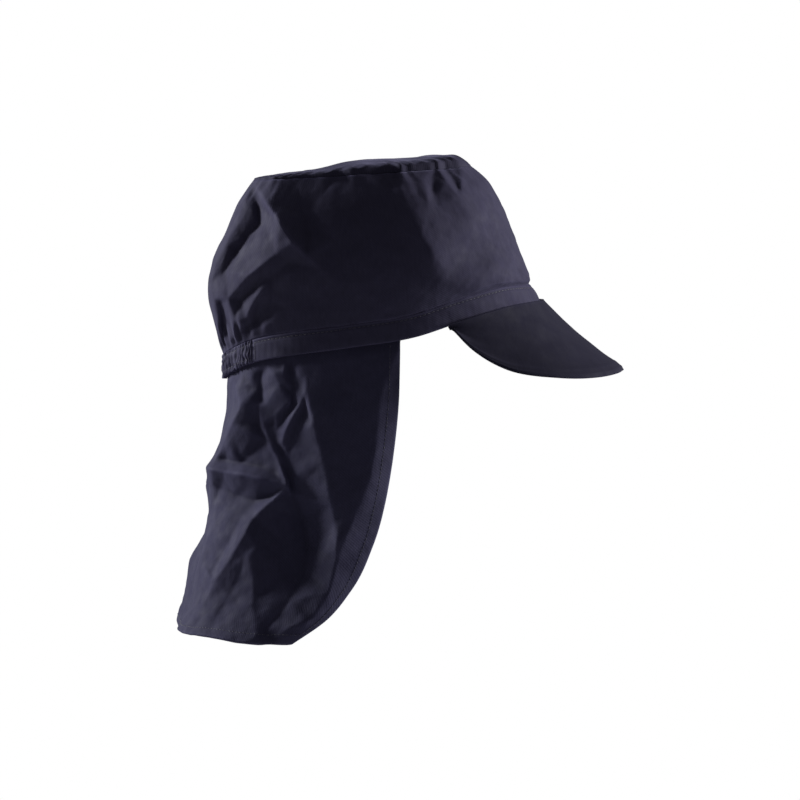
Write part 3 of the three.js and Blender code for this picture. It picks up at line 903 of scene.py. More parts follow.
@dataclass
class ClothPiece:
    """A piece of cloth on a grid of two places, with a relief over its plain form."""

    name: str = "cloth"
    thickness: float = 1.4
    nets: tuple[FoldNet, ...] = ()

    def form(self, a: Array, b: Array) -> Array:
        """Points of the plain outside."""
        raise NotImplementedError

    def relief(self, a: Array, b: Array) -> Array:
        """Height of creases and ripples over the plain outside."""
        return np.zeros(np.broadcast(a, b).shape)

    def depth(self, a: Array, b: Array) -> Array:
        """Thickness of the cloth, thicker where it is folded over."""
        return np.full(np.broadcast(a, b).shape, self.thickness)

    def flat(self, a: Array, b: Array) -> Array:
        """Flat lengths on the cloth, mm."""
        raise NotImplementedError

    def fold_share(self, a: Array, b: Array) -> Array:
        """How much of the fold net shows, 0 where the cloth is held in a seam."""
        return np.zeros(np.broadcast(a, b).shape)

    def folds(self, a: Array, b: Array, points: Array, normals: Array) -> Array:
        """Moves of the fold net on the side that the drawing shows.

        Args:
            a: first places.
            b: second places.
            points: points of the plain outside.
            normals: its normals.

        Returns:
            A move in mm for each point.
        """
        facing = ease((normals @ DRAWING.towards + 0.25) / 0.35)
        height = sum((net.heights(DRAWING.places(points)) for net in self.nets), np.zeros(len(points)))
        return (height * facing * self.fold_share(a, b))[:, None] * DRAWING.towards

    def outside(self, a: Array, b: Array) -> Array:
        """Points of the outside with its relief and folds.

        Args:
            a: first places.
            b: second places.

        Returns:
            Points in mm.
        """
        points = self.form(a, b)
        normals = normals_of(self.form, a, b)
        return points + normals * self.relief(a, b)[..., None] + self.folds(a, b, points, normals)

    def shell(self, across: Array, ups: Array, run: Run) -> Object:
        """The closed mesh over a grid.

        Args:
            across: the first place of each column.
            ups: the second place of each row.
            run: whether the columns run all round.

        Returns:
            The piece's object.
        """
        a, b = grid(across, ups)
        points = self.form(a, b)
        normals = normals_of(self.form, a, b)
        height = self.relief(a, b)
        moved = points + self.folds(a, b, points, normals)
        outer = moved + normals * height[:, None]
        inner = moved + normals * (height - self.depth(a, b))[:, None]
        both = np.concatenate([outer, inner])
        faces = point_out(both, shell_faces(len(across), len(ups), run))
        return mesh_object(self.name, both, faces, np.concatenate([self.flat(a, b)] * 2))

    def sew(self, name: str, a: Array, b: Array, stitches: Stitches, thread: Material, slot: str) -> None:
        """Lay a row of stitches on the cloth.

        Args:
            name: the row's name.
            a: the first place of each point of the row.
            b: the second place of each point, or of all of them.
            stitches: the kind of stitch.
            thread: its material.
            slot: the record slot of the piece that is sewn.
        """
        a, b = np.broadcast_arrays(a, b)
        made = stitches.mesh(name, self.outside(a, b), normals_of(self.form, a, b))
        finish_piece(made, thread, slot)


@dataclass
class CrownWall(ClothPiece):
    """The soft side wall of the crown, from the band up to the top seam."""

    name: str = "crown_wall_cloth"
    nets: tuple[FoldNet, ...] = (FoldNet(CROWN_FOLDS), FoldNet(CROWN_BULGES, rounding=5.0))
    seam_height: float = 104.8
    seam_fall: float = 8.3
    seam_sink: float = 0.5
    top_length: float = 133.1
    top_width: float = 106.0
    top_forward: float = -11.9
    crease_depth: float = 8.0
    crease_width: float = 20.0
    crest: float = 0.05
    pucker_pitch: float = 9.0
    pucker_height: float = 0.3
    gather_height: float = 0.75
    ripple_height: float = 0.32
    fine_ripple_height: float = 0.1
    overhang: float = 0.95
    cut_height: float = 118.0
    cut_share: float = 0.86
    columns: int = 430
    rows: int = 88
    sections: Table = Table(
        ("up", "front_in", "side_in", "back_in", "front_rise", "back_rise"),
        (
            (0, 0, 0, 0, 0, 0),
            (0.15, 0.014, -0.098, -0.27, 0.097, 0.164),
            (0.35, 0.151, -0.157, -0.5, 0.279, 0.356),
            (0.55, 0.302, -0.059, -0.36, 0.48, 0.53),
            (0.75, 0.508, 0.196, 0.1, 0.724, 0.712),
            (0.9, 0.742, 0.588, 0.57, 0.898, 0.886),
            (1, 1, 1, 1, 1, 1),
        ),
    )
    creases: tuple[Crease, ...] = (
        Crease(0.12, 1.5, 1.2, ((196, 1.2), (172, 0.92), (164, 0.7))),
        Crease(0.8, 1.3, 0.8, ((200, 1.1), (218, 0.82), (232, 0.55), (250, 0.2))),
        Crease(0.6, 1, 0.7, ((236, 0.56), (212, 0.34), (200, 0.22))),
        Crease(-0.6, 0.8, 0.8, ((196, 0.9), (208, 0.6), (204, 0.4))),
        Crease(-0.4, 0.6, 0.6, ((234, 0.22), (212, 0.04))),
        Crease(-0.7, 0.6, 0.6, ((324, 1.12), (314, 0.76))),
        Crease(0.5, 0.6, 0.6, ((302, 1.06), (306, 0.72))),
        Crease(0.3, 0.6, 0.6, ((338, 1.06), (326, 0.7))),
        Crease(-0.4, 0.9, 0.9, ((296, 0.5), (330, 0.4))),
    )

    def fold_share(self, a: Array, b: Array) -> Array:
        """The folds start just above the band."""
        return ease(b / 0.07)

    @property
    def height(self) -> float:
        """Height of the wall over the back of the rim."""
        return self.seam_height - OPENING.rise + OPENING.low

    def seam(self, turn: Array) -> Array:
        """Points of the top seam.

        Args:
            turn: turns in degrees.

        Returns:
            Points in mm.
        """
        angle = np.radians(turn)
        return stack(
            self.top_forward + self.top_length / 2 * np.cos(angle),
            -self.top_width / 2 * np.sin(angle),
            self.seam_height - self.seam_fall * (1 - np.cos(angle)) / 2,
        )

    def form(self, a: Array, b: Array) -> Array:
        """Points of the plain wall, at a turn and a height from 0 at the band to 1 at the top.

        Args:
            a: turn in degrees from the front.
            b: height, 0 at the band and 1 at the top seam.

        Returns:
            Points in mm.
        """
        front = (1 + np.cos(np.radians(a))) / 2
        side = np.abs(np.sin(np.radians(a)))
        high = self.seam(a)
        high[..., 2] -= self.seam_sink
        inward = mix(self.sections.at("back_in", b), self.sections.at("front_in", b), front)
        rise = mix(self.sections.at("back_rise", b), self.sections.at("front_rise", b), front)
        across = mix(inward, self.sections.at("side_in", b), side)
        return mix(OPENING.band_top(a), high, stack(inward, across, rise))

    def puckers(self, angle: Array) -> Array:
        """Uneven waves along the top seam, from -1 to 1, which its two pieces share."""
        count = round(math.pi * (self.top_length + self.top_width) / 2 / self.pucker_pitch)
        return np.sin(count * angle + 1.1 * np.sin(5 * angle + 1) + 0.5 * np.sin(11 * angle))

    def relief(self, a: Array, b: Array) -> Array:
        """Creases, puckers of both seams and small ripples.

        Args:
            a: turn in degrees from the front.
            b: height, 0 at the band and 1 at the top seam.

        Returns:
            Heights in mm.
        """
        total = np.zeros(len(a))
        flat = self.flat(a, b)
        for crease in self.creases:
            path = np.array(crease.path, dtype=float)
            middle = path[:, 0].mean()
            turned = (a - middle + 180) % 360 - 180 + middle
            here = np.stack([-turned * OPENING.flat_arc, flat[:, 1]], axis=1)
            line = np.stack([-path[:, 0] * OPENING.flat_arc, path[:, 1] * self.height], axis=1)
            total += crease.relief(here, line, self.crease_depth, self.crease_width, self.crest)
        total *= mix(1, 0.35, ease((b - 0.85) / 0.15))
        turns = np.radians(a)
        uneven = 0.6 + 0.4 * np.sin(3 * turns + 0.7) * np.sin(7 * turns + 2)
        near_top = ease((b - 0.8) / 0.17) * (1 - 0.3 * ease((b - 0.97) / 0.03))
        total += self.pucker_height * self.puckers(turns) * uneven**2 * near_top
        near_band = ease((0.22 - b) / 0.2)
        back = ease((CASING_TURN + 14 - np.abs(a % 360 - 180)) / 16)
        gathers = np.sin(turns * 64 + np.sin(turns * 9) * 1.4)
        total += near_band * (0.04 + self.gather_height * back) * gathers
        total += self.ripple_height * ripple(*flat.T, 5, 9, 46, 14)
        total += self.fine_ripple_height * ripple(*flat.T, 8, 9, 13, 5)
        front = OPENING.front_share(a)
        overhang = self.overhang * front * ease((b - 0.015) / 0.05) * ease((0.3 - b) / 0.3)
        level = 0.6 * (OPENING.band_proud - GAP) * (1 - front) * ease((0.16 - b) / 0.16)
        return (total + overhang) * ease(b / 0.05) + level

    def flat(self, a: Array, b: Array) -> Array:
        """Flat lengths, along the band and up the wall."""
        return np.stack([-a * OPENING.flat_arc, b * self.height], axis=1)

    def seam_shift(self, turn: Array) -> Array:
        """How far creases and puckers move the top seam off its plain oval."""
        top = np.ones_like(turn)
        return self.outside(turn, top) - self.form(turn, top)

    def build(self, cloth: Material) -> None:
        """Make and dress the wall.

        Args:
            cloth: the cloth's material.
        """
        turns = np.linspace(0, 360, self.columns, endpoint=False)
        piece = self.shell(turns, np.linspace(0, 1, self.rows), Run.ROUND)
        finish_piece(piece, cloth, "navy_cotton", "crown_wall")


@dataclass
class CrownTop:
    """The oval top panel, domed and puckered along its seam."""

    wall: CrownWall
    thickness: float = 1.4
    dome: float = 8.0
    flatness: float = 0.24
    rim_thickness: float = 0.6
    cut_ease: float = 1.07
    overlap: float = -0.05
    pucker_height: float = 0.4
    ripple_height: float = 0.45
    columns: int = 430
    rings: int = 46
    profile: Table = Table(
        ("along", "rise"),
        (
            (0, 0), (0.17, 0.33), (0.33, 0.6), (0.42, 0.87), (0.51, 1), (0.6, 0.97), (0.74, 0.93),
            (0.8, 1), (0.88, 0.96), (0.93, 0.84), (0.975, 0.35), (1, 0),
        ),
    )
    shift: Array = field(init=False, default_factory=lambda: np.zeros((0, 3)))

    def __post_init__(self) -> None:
        """Follow the seam of the wall."""
        turns = np.linspace(0, 360, self.columns, endpoint=False)
        angle = np.radians(turns)
        outward = stack(np.cos(angle), -np.sin(angle), 0 * angle)
        self.shift = self.wall.seam_shift(turns) + outward * self.overlap

    def form(self, turn: Array, out: Array) -> Array:
        """Points of the panel, out from 0 in the middle to 1 at the seam.

        Args:
            turn: turns in degrees from the front.
            out: places out, 0 in the middle and 1 at the seam.

        Returns:
            Points in mm.
        """
        wall = self.wall
        edge = wall.seam(turn)
        x = mix(wall.top_forward, edge[..., 0], out)
        y = edge[..., 1] * out
        along = 0.5 + (x - wall.top_forward) / wall.top_length
        half = wall.top_width / 2 * np.sqrt(np.maximum(1e-6, 1 - (2 * along - 1) ** 2))
        across = np.maximum(0, 1 - (y / half) ** 2) ** self.flatness
        chord = wall.seam_height - wall.seam_fall * (1 - along)
        rise = self.dome * self.profile.at("rise", along) * across
        near_seam = ease((out - 0.78) / 0.15) * ease((1 - out) / 0.04)
        pucker = self.pucker_height * wall.puckers(np.radians(turn)) * near_seam
        ripples = self.ripple_height * ripple(x, y, 21, 9, 60, 18) * ease((1 - out) / 0.15)
        plain = stack(x, y, chord + rise + pucker + ripples)
        column = np.round(turn / 360 * self.columns).astype(int) % self.columns
        return plain + self.shift[column] * ease((out - 0.6) / 0.4)[..., None]

    def build(self, cloth: Material) -> None:
        """Make and dress the panel.

        Args:
            cloth: the cloth's material.
        """
        turns = np.linspace(0, 360, self.columns, endpoint=False)
        outs = 1 - np.linspace(0, 1, self.rings, endpoint=False) ** 1.15
        a, b = grid(outs, turns)
        upper = self.form(b, a)
        middle = self.form(np.zeros(1), np.zeros(1))
        layer = np.concatenate([upper, middle])
        inside = np.append(ease((1 - a) / 0.06), 1)
        down = mix(self.rim_thickness, self.thickness, inside)
        points = np.concatenate([layer, layer - down[:, None] * np.array([0, 0, 1])])
        faces: list[tuple[int, ...]] = []
        size, n = len(layer), self.columns
        for i in range(n):
            after = (i + 1) % n
            for ring in range(self.rings - 1):
                low, high = ring * n, (ring + 1) * n
                faces.append((low + i, low + after, high + after, high + i))
                faces.append((size + low + i, size + high + i, size + high + after, size + low + after))
            last = (self.rings - 1) * n
            faces.append((last + i, last + after, size - 1))
            faces.append((size + last + after, size + last + i, 2 * size - 1))
            faces.append((i, size + i, size + after, after))
        piece = mesh_object("crown_top_cloth", points, faces, points[:, :2])
        finish_piece(piece, cloth, "navy_cotton", "crown_top")


@dataclass
class HemBand(ClothPiece):
    """The folded and stitched band round the front and sides of the opening."""

    name: str = "hem_band_cloth"
    thickness: float = OPENING.band_thickness
    roll: float = 0.385
    front_roll: float = 0.6
    groove: float = 0.3
    hang: float = 0.5
    pull_pitch: float = 5.2
    pull_height: float = 0.03
    slack: float = 0.22
    columns: int = 520
    rows: int = 22
    stitch_up: float = 0.84

    def form(self, a: Array, b: Array) -> Array:
        """Points of the plain band."""
        return OPENING.band(a, b)

    def relief(self, a: Array, b: Array) -> Array:
        """Folded edges, the groove of the stitch row, pull marks and small ripples.

        Args:
            a: turn in degrees from the front.
            b: height, 0 at the rim and 1 at the crown.

        Returns:
            Heights in mm.
        """
        along, up = self.flat(a, b).T
        rounded = np.sqrt(np.maximum(0, np.sin(math.pi * np.clip(b * 0.96 + 0.02, 0, 1))))
        roll = (self.roll + self.front_roll * OPENING.front_share(a)) * rounded
        groove = -self.groove * bell(b, self.stitch_up, 0.05)
        wave = along * math.tau / self.pull_pitch + 1.5 * np.sin(along / 17)
        pulls = self.pull_height * np.sin(wave) * ease((1 - b) / 0.5)
        slack = self.slack * ripple(along, up * 2, 31, 8, 40, 11)
        return OPENING.band_proud + roll + groove + pulls + slack - GAP

    def flat(self, a: Array, b: Array) -> Array:
        """Flat lengths, along and up the band."""
        return np.stack([-a * OPENING.flat_arc, b * OPENING.band_height], axis=1)

    def build(self, cloth: Material, thread: Material) -> None:
        """Make and dress the band and its stitch rows.

        Args:
            cloth: the cloth's material.
            thread: the thread's material.
        """
        end = 180 - CASING_TURN - math.degrees(SEAM / (OPENING.length / 2))
        turns = np.linspace(-end, end, self.columns)
        ups = np.linspace(-self.hang / OPENING.band_height, 1 - SEAM / OPENING.band_height, self.rows)
        finish_piece(self.shell(turns, ups, Run.OPEN), cloth, "navy_band", "hem_band")
        row = np.linspace(-end, end, 900)
        self.sew("band_stitches_upper", row, self.stitch_up, Stitches(radius=0.17), thread, "navy_band")


@dataclass
class ElasticCasing(ClothPiece):
    """The rear of the band, gathered by the elastic inside it, between two tack lines."""

    name: str = "elastic_casing_cloth"
    thickness: float = OPENING.band_thickness
    gather_pitch: float = 2.7
    fullness: float = 1.5
    gather_depth: float = 0.9
    swell: float = 0.5
    edge_wave: float = 0.8
    upper_row: float = 0.82
    lower_row: float = 0.2
    row_width: float = 0.07
    tack_turn: float = 1.0
    columns: int = 460
    rows: int = 26

    def along(self, a: Array) -> Array:
        """How far along the casing a turn lies, from 0 to 1."""
        return (a - 180 + CASING_TURN) / (2 * CASING_TURN)

    def phase(self, a: Array) -> Array:
        """Which gather a turn lies on; the gathers are unevenly spaced.

        Args:
            a: turns in degrees.

        Returns:
            The number of gathers up to each turn.
        """
        along = self.along(a)
        count = round(OPENING.casing_length / self.gather_pitch)
        return along * count + 0.6 * np.sin(along * 19) + 0.3 * np.sin(along * 47)

    def form(self, a: Array, b: Array) -> Array:
        """Points of the plain casing, its lower edge waved by the gathers.

        Args:
            a: turn in degrees from the front.
            b: height, 0 at the rim and 1 at the crown.

        Returns:
            Points in mm.
        """
        point = OPENING.band(a, b)
        wave = np.sin(self.phase(a) * math.tau)
        point[..., 2] += self.edge_wave * wave * ease(1 - 2 * b)
        return point

    def relief(self, a: Array, b: Array) -> Array:
        """Ribs that are pinched at the two stitch rows and swell between and below them.

        Args:
            a: turn in degrees from the front.
            b: height, 0 at the rim and 1 at the crown.

        Returns:
            Heights in mm.
        """
        along = self.along(a)
        uneven = 0.65 + 0.35 * np.sin(along * 31) * np.sin(along * 12)
        rib = (0.5 + 0.5 * np.cos(self.phase(a) * math.tau + 0.5 * np.sin(b * 4 + along * 25))) ** 0.8
        upper = bell(b, self.upper_row, self.row_width)
        lower = bell(b, self.lower_row, self.row_width)
        pinch = 1 - 0.7 * upper - 0.5 * lower
        ends = ease(np.minimum(along, 1 - along) / 0.02)
        length, up = self.flat(a, b).T
        swell = self.swell * (np.sin(math.pi * b) + ripple(length / self.fullness, up * 1.3, 71, 12, 11, 5))
        height = self.gather_depth * uneven * rib * pinch + swell
        return OPENING.band_proud - 0.2 + height * (0.3 + 0.7 * ends)

    def depth(self, a: Array, b: Array) -> Array:
        """Thickness that keeps the inside smooth."""
        return self.relief(a, b) - OPENING.band_proud + self.thickness

    def flat(self, a: Array, b: Array) -> Array:
        """Flat lengths of the gathered cloth."""
        return np.stack([-a * OPENING.flat_arc * self.fullness, b * OPENING.band_height], axis=1)

    def build(self, cloth: Material, thread: Material) -> None:
        """Make and dress the casing and its tack lines.

        Args:
            cloth: the cloth's material.
            thread: the thread's material.
        """
        turns = np.linspace(180 - CASING_TURN, 180 + CASING_TURN, self.columns)
        ups = np.linspace(0, 1 - SEAM / OPENING.band_height, self.rows)
        finish_piece(self.shell(turns, ups, Run.OPEN), cloth, "navy_band", "elastic_casing")
        reach = CASING_TURN - self.tack_turn
        row = np.linspace(180 - reach, 180 + reach, 500)
        fine = Stitches(pitch=2.4, radius=0.13)
        for label, up in (("upper", self.upper_row), ("lower", self.lower_row)):
            self.sew(f"casing_stitches_{label}", row, up, fine, thread, "navy_band")
        ups = np.linspace(0.08, 0.95, 40)
        reach = CASING_TURN + self.tack_turn
        tack = Stitches(pitch=1.5, radius=0.2)
        for label, turn in (("right", 180 - reach), ("left", 180 + reach)):
            HemBand().sew(f"tack_line_{label}", turn, ups, tack, thread, "navy_band")


@dataclass
class Peak(ClothPiece):
    """The short cloth-covered peak at the front."""

    name: str = "peak_cloth"
    thickness: float = 3.2
    edge_thin: float = 0.8
    base: float = 196.0
    reach: float = 51.8
    drop: float = 42.0
    spread: float = 0.6
    sag: float = 2.6
    edge_roll: float = 0.3
    edge_groove: float = 0.25
    dip: float = 0.2
    ripple_height: float = 0.16
    columns: int = 260
    rows: int = 60
    edges: Table = Table(
        ("along", "forward", "out", "fall"),
        (
            (0, 0.02, 1, 0.05),
            (0.12, 0.13, 1.01, 0.48),
            (0.3, 0.34, 0.99, 0.92),
            (0.5, 0.61, 0.87, 1.08),
            (0.7, 0.83, 0.64, 1.1),
            (0.87, 0.96, 0.32, 1.04),
            (1, 1, 0, 1),
        ),
    )

    def form(self, a: Array, b: Array) -> Array:
        """Points of the underside, across from -1 to 1 and out from 0 at the band to 1.

        Args:
            a: place across, from -1 to 1.
            b: place out, 0 at the band and 1 at the free edge.

        Returns:
            Points in mm.
        """
        half_turn = OPENING.turn_of_length(self.base, False)
        corner = OPENING.rim(np.array([half_turn]))[0]
        along = 1 - np.abs(a)
        tip = OPENING.rim(np.zeros(1))[0, 2] - self.drop
        edge = stack(
            mix(corner[0], OPENING.length / 2 + self.reach, self.edges.at("forward", along)),
            np.sign(a) * (corner[1] - self.spread * np.sin(math.pi * along)) * self.edges.at("out", along),
            mix(corner[2], tip, self.edges.at("fall", along)),
        )
        rim = OPENING.rim(a * half_turn)
        base = rim - unit(OPENING.band_top(a * half_turn) - rim) * GAP
        return mix(base, edge, np.asarray(b)[..., None])

    def relief(self, a: Array, b: Array) -> Array:
        """A rolled seam at the free edge, a sag and slight waves of the cover, all downwards.

        Args:
            a: place across, from -1 to 1.
            b: place out, 0 at the band and 1 at the free edge.

        Returns:
            Heights in mm.
        """
        flat = self.flat(a, b)
        seam = self.edge_roll * bell(b, 0.955, 0.03) - self.edge_groove * bell(b, 0.89, 0.02)
        dip = self.dip * ease((0.07 - b) / 0.07)
        waves = self.ripple_height * ripple(*flat.T, 41, 8, 50, 16)
        sag = self.sag * np.sin(math.pi * np.clip(b, 0, 1)) ** 0.7
        return seam + dip + sag + waves * ease(b / 0.1)

    def depth(self, a: Array, b: Array) -> Array:
        """The peak thins and rounds off at its free edge."""
        round_off = 1 - 0.75 * ease((b - 0.96) / 0.04)
        return (self.thickness - self.edge_thin * b) * round_off

    def flat(self, a: Array, b: Array) -> Array:
        """Flat lengths, across and out."""
        return np.stack([a * self.base / 2, b * (self.reach + 15)], axis=1)

    def build(self, cloth: Material) -> None:
        """Make and dress the peak.

        Args:
            cloth: the cloth's material.
        """
        across = np.linspace(-1, 1, self.columns)
        outs = np.linspace(0, 1, self.rows)
        finish_piece(self.shell(across, outs, Run.OPEN), cloth, "peak_cotton", "peak")


@dataclass
class NeckFlap(ClothPiece):
    """The long flap that hangs from inside the band over the ears and the neck."""

    name: str = "neck_flap_cloth"
    nets: tuple[FoldNet, ...] = (FoldNet(FLAP_FOLDS), FoldNet(FLAP_BULGES, rounding=4.5))
    thickness: float = 1.2
    width: float = 302.0
    tuck_in: float = 8.0
    back_drop: float = 158.5
    edge_drop: float = 186.0
    swing: float = 31.0
    sweep: float = 66.0
    spread: float = 9.7
    curl: float = 14.0
    hem_dip: float = 4.5
    lift: float = 4.4
    pleat_depth: float = 9.0
    pleat_width: float = 24.0
    crest: float = 0.045
    gather_height: float = 0.5
    ripple_height: float = 0.35
    fine_ripple_height: float = 0.13
    hem_raise: float = 0.2
    hem_layer: float = 0.5
    hem: float = 7.0
    row_margin: float = 1.2
    cut_share: float = 0.92
    columns: int = 300
    rows: int = 150
    sections: Table = Table(
        ("down", "back_fall", "back_out", "edge_fall", "edge_in", "spread", "curl"),
        (
            (0, 0, 0, 0, 0, 0, 0.75),
            (0.1, 0.112, 0.02, 0.093, 0.003, -0.03, 0.79),
            (0.25, 0.305, 0.2, 0.236, 0.018, -0.13, 0.86),
            (0.4, 0.446, 0.33, 0.39, 0.066, -0.13, 0.93),
            (0.55, 0.607, 0.46, 0.54, 0.14, 0.07, 1),
            (0.7, 0.754, 0.63, 0.676, 0.25, 0.38, 1),
            (0.85, 0.883, 0.75, 0.828, 0.46, 0.69, 1),
            (0.93, 0.945, 0.86, 0.921, 0.68, 0.85, 1),
            (1, 1, 1, 1, 1, 1, 1),
        ),
    )
    pleats: tuple[Crease, ...] = (
        Crease(0.62, 0.7, 1, ((-0.1, 0.29), (0.01, 0.3), (0.1, 0.305), (0.25, 0.31))),
        Crease(-0.6, 0.4, 0.4, ((-0.3, -0.08), (-0.34, 0.2))),
        Crease(-0.6, 0.4, 0.4, ((-0.52, -0.08), (-0.56, 0.22))),
        Crease(0.8, 0.9, 0.9, ((-0.42, 0.04), (-0.5, 0.3), (-0.64, 0.6))),
        Crease(0.6, 0.8, 0.8, ((0.06, 0.35), (-0.22, 0.42), (-0.46, 0.54))),
        Crease(-0.8, 0.9, 0.9, ((-0.32, 0.46), (-0.38, 0.7), (-0.36, 0.95))),
        Crease(0.9, 0.8, 0.8, ((-0.1, 0.5), (-0.14, 0.75), (-0.2, 1.12))),
        Crease(-0.5, 0.9, 0.9, ((-0.74, 0.25), (-0.84, 0.72))),
    )
    flap_turn: float = field(init=False, default=0.0)

    def __post_init__(self) -> None:
        """Work out how far round the rim the flap reaches."""
        self.flap_turn = OPENING.turn_of_length(self.width, True)

    def plan(self, side: Array, down: Array, share: float) -> Array:
        """Points of the hanging cloth, or of its plain start at the rim where share is 0.

        Args:
            side: place across, from -1 to 1.
            down: place down, from 0 to 1.
            share: 1 for the hanging cloth, 0 for its start.

        Returns:
            Points in mm.
        """
        back = OPENING.tuck(np.array([180.0]), np.zeros(1))[0]
        edge = OPENING.tuck(np.array([180 - self.flap_turn]), np.zeros(1))[0]

        def at(column: str) -> Array:
            """One column of the section table here."""
            return self.sections.at(column, down) * share

        back_x = back[0] - self.swing * at("back_out")
        back_z = back[2] - self.back_drop * at("back_fall")
        edge_x = edge[0] - self.sweep * at("edge_in")
        edge_z = edge[2] - self.edge_drop * at("edge_fall")
        curl = self.curl * self.sections.at("curl", down) if share else edge_x
        centre = edge_x - curl
        depth = centre - back_x
        widest = np.arccos(np.clip(-curl / depth, -1, 1))
        angle = side * widest
        wide = OPENING.width / 2 - OPENING.inset + self.spread * at("spread")
        in_plan = (1 - np.cos(angle)) / (1 - np.cos(widest))
        dip = share * self.hem_dip * np.sin(math.pi * in_plan**2) * down**4
        lifted = mix(0.6, 1, ease(in_plan / 0.3)) * ease((1.05 - in_plan) / 0.3)
        dip = dip - share * self.lift * lifted * down**5
        z = mix(back_z, edge_z, in_plan) - dip
        return stack(centre - depth * np.cos(angle), -wide * np.sin(angle), z)

    def form(self, a: Array, b: Array) -> Array:
        """Points of the plain flap, side from -1 to 1 and down from 0 at the rim to 1 at the hem.

        Args:
            a: place across, from -1 to 1.
            b: place down, 0 at the rim and 1 at the hem.

        Returns:
            Points in mm.
        """
        side, down = np.broadcast_arrays(np.asarray(a, float), np.asarray(b, float))
        at_rim = 180 - side * self.flap_turn
        below = np.maximum(down, 0)
        start = OPENING.tuck(at_rim, np.zeros_like(at_rim))
        from_rim = (start - self.plan(side, below, 0)) * ((1 - below) ** 3)[..., None]
        hung = self.plan(side, below, 1) + from_rim
        tucked = OPENING.tuck(at_rim, np.maximum(-down, 0) * self.tuck_in / OPENING.band_height)
        return np.where((down < 0)[..., None], tucked, hung)

    def relief(self, a: Array, b: Array) -> Array:
        """Pleats, gathers under the elastic, ripples and the folded hem.

        Args:
            a: place across, from -1 to 1.
            b: place down, 0 at the rim and 1 at the hem.

        Returns:
            Heights in mm.
        """
        total = np.zeros(len(a))
        flat = self.flat(a, b)
        scale = np.array([self.width / 2, -self.edge_drop])
        for pleat in self.pleats:
            line = np.array(pleat.path, dtype=float) * scale
            total += pleat.relief(flat, line, self.pleat_depth, self.pleat_width, self.crest)
        back = ease((0.5 - np.abs(a)) / 0.3)
        gathers = np.sin(a * 46 + 1.2 * np.sin(a * 9)) * ease((0.16 - b) / 0.14)
        total += self.gather_height * gathers * (0.25 + back)
        total += self.ripple_height * ripple(*flat.T, 61, 10, 60, 18)
        total += self.fine_ripple_height * ripple(*flat.T, 62, 10, 16, 6)
        total *= ease(b / 0.05)
        return total + self.hem_raise * self.hem_share(a, b)

    def fold_share(self, a: Array, b: Array) -> Array:
        """The folds start just below the band."""
        return ease(b / 0.05)

    def hem_share(self, a: Array, b: Array) -> Array:
        """1 on the folded hem along the free edges and 0 inside it.

        Args:
            a: place across, from -1 to 1.
            b: place down, 0 at the rim and 1 at the hem.

        Returns:
            A share for each place.
        """
        from_side = (1 - np.abs(a)) * self.width / 2
        from_low = (1 - b) * self.edge_drop
        inside = np.minimum(from_side, from_low)
        return ease((self.hem - inside) / 1.8) * (b > 0)

    def depth(self, a: Array, b: Array) -> Array:
        """Two layers at the hem."""
        return self.thickness + self.hem_layer * self.hem_share(a, b)

    def flat(self, a: Array, b: Array) -> Array:
        """Flat lengths, round and down the flap."""
        return np.stack([a * self.width / 2, -b * self.edge_drop], axis=1)

    def build(self, cloth: Material, thread: Material) -> None:
        """Make and dress the flap and the stitches of its hem.

        Args:
            cloth: the cloth's material.
            thread: the thread's material.
        """
        sides = np.linspace(-1, 1, self.columns)
        downs = np.concatenate([np.linspace(-1, 0, 5)[:-1], np.linspace(0, 1, self.rows)])
        piece = self.shell(sides, downs, Run.OPEN)
        finish_piece(piece, cloth, "flap_cotton", "neck_flap")
        from_edge = self.hem - self.row_margin
        side, low = 1 - from_edge / (self.width / 2), 1 - from_edge / self.edge_drop
        down = np.linspace(0.01, low, 300)
        sides = np.concatenate([np.full(300, side), np.linspace(side, -side, 500), np.full(300, -side)])
        downs = np.concatenate([down, np.full(500, low), down[::-1]])
        stitches = Stitches(pitch=2.6, radius=0.16)
        self.sew("flap_hem_stitches", sides, downs, stitches, thread, "flap_cotton")


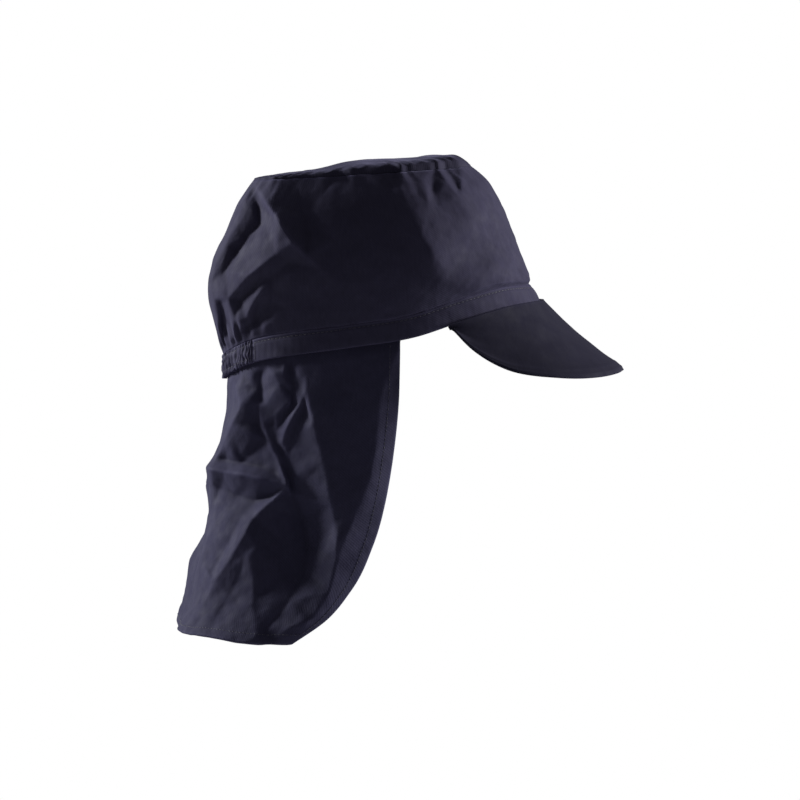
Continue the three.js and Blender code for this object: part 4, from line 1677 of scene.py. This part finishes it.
@dataclass
class Studio:
    """A pale floor, white surroundings, two soft lights and a camera at the wearer's right."""

    sensor: float = 36.0
    floor: float = -0.5
    floor_reach: float = 1.9
    floor_glow: float = 0.62
    seen_sky: float = 1.0
    sky_light: float = 0.14
    lamp_spread: float = 50.0
    aim: Place = (0.0, 0.0, -0.03)

    def ground(self) -> None:
        """A plain pale floor that isn't part of the cap, and looks pale in weak light too."""
        r, z = self.floor_reach, self.floor
        mesh = bpy.data.meshes.new("floor")
        mesh.from_pydata([(-r, -r, z), (r, -r, z), (r, r, z), (-r, r, z)], [], [(0, 1, 2, 3)])
        material = bpy.data.materials.new("floor")
        nodes = Nodes(material)
        seen = nodes.add("LightPath", {})["Is Camera Ray"]
        nodes.fill(nodes.tree.nodes["Principled BSDF"], {
            "Base Color": (0.9, 0.9, 0.9, 1),
            "Roughness": 1,
            "Emission Color": (1, 1, 1, 1),
            "Emission Strength": nodes.times(seen, self.floor_glow),
        })
        mesh.materials.append(material)
        placed_object("floor", mesh)

    def sky(self) -> None:
        """White surroundings that give the cap little light."""
        world = bpy.data.worlds.new("studio")
        nodes = Nodes(world)
        dim = nodes.tree.nodes["Background"]
        nodes.fill(dim, {"Color": (1, 1, 1, 1), "Strength": self.sky_light})
        bright = nodes.add("Background", {"Color": (1, 1, 1, 1), "Strength": self.seen_sky})["Background"]
        seen = nodes.add("LightPath", {})["Is Camera Ray"]
        either = nodes.add("MixShader", {0: seen, 1: dim.outputs["Background"], 2: bright})["Shader"]
        nodes.fill(nodes.tree.nodes["World Output"], {"Surface": either})
        bpy.context.scene.world = world

    def light(self, name: str, place: Place, size: float, power: float, tint: Place) -> None:
        """Make a soft area light that faces the cap.

        Args:
            name: the light's name.
            place: where it stands, m.
            size: its width, m.
            power: its power, W.
            tint: its colour.
        """
        data = bpy.data.lights.new(name, "AREA")
        data.shape = "DISK"
        data.size = size
        data.energy = power
        data.color = tint
        data.spread = math.radians(self.lamp_spread)
        lamp = placed_object(name, data)
        lamp.location = place
        x, y, z = np.array(self.aim) - np.array(place)
        lamp.rotation_euler = (math.atan2(math.hypot(x, y), -z), 0, math.atan2(x, -y) + math.pi)

    def build(self) -> None:
        """Make the floor, the backdrop, the lights and the camera."""
        scene = bpy.context.scene
        scene.view_settings.view_transform = "Standard"
        self.ground()
        self.sky()
        self.light("window_left", (-1.7, 0.74, 0.6), 0.45, 3.7, (0.96, 0.97, 1))
        self.light("box_right", (1.9, 0.25, 0.42), 0.5, 3.8, (1, 0.99, 0.97))
        camera = bpy.data.cameras.new("camera")
        camera.sensor_width = self.sensor
        camera.lens = self.sensor * DRAWING.distance / (DRAWING.steps * DRAWING.step)
        camera.clip_end = 60
        holder = placed_object("camera", camera)
        right = (DRAWING.steps / 2 - DRAWING.origin[0]) * DRAWING.step * MM
        up = (DRAWING.origin[1] - DRAWING.steps / 2) * DRAWING.step * MM
        away = DRAWING.distance * MM
        tilt = math.radians(DRAWING.tilt)
        holder.location = (
            right,
            -away * math.cos(tilt) + up * math.sin(tilt),
            away * math.sin(tilt) + up * math.cos(tilt),
        )
        holder.rotation_euler = (math.pi / 2 - tilt, 0, 0)
        scene.camera = holder


def main() -> None:
    """Build and dress the whole cap."""
    logging.basicConfig(level=logging.INFO, format="%(name)s %(message)s")
    crown_cloth = TwillCloth("navy_crown_twill", Tone.CROWN).material()
    # the band takes a stronger pointiness mark: lighter worn edges, and deeper painted shade in its hollows
    band_cloth = TwillCloth("navy_band_twill", Tone.CROWN, crumple=0.15, fade=0.8).material()
    # the peak's twill carries the painted shade of its darker tone
    peak_cloth = TwillCloth("navy_peak_twill", Tone.PEAK_SHADE, crumple=0.08, sheen=0.03).material()
    flap_cloth = TwillCloth("navy_flap_twill", Tone.FLAP).material()
    thread = SewingThread().material()
    wall = CrownWall()
    wall.build(crown_cloth)
    CrownTop(wall).build(crown_cloth)
    HemBand().build(band_cloth, thread)
    ElasticCasing().build(band_cloth, thread)
    Peak().build(peak_cloth)
    NeckFlap().build(flap_cloth, thread)
    Studio().build()


if __name__ == "__main__":
    main()
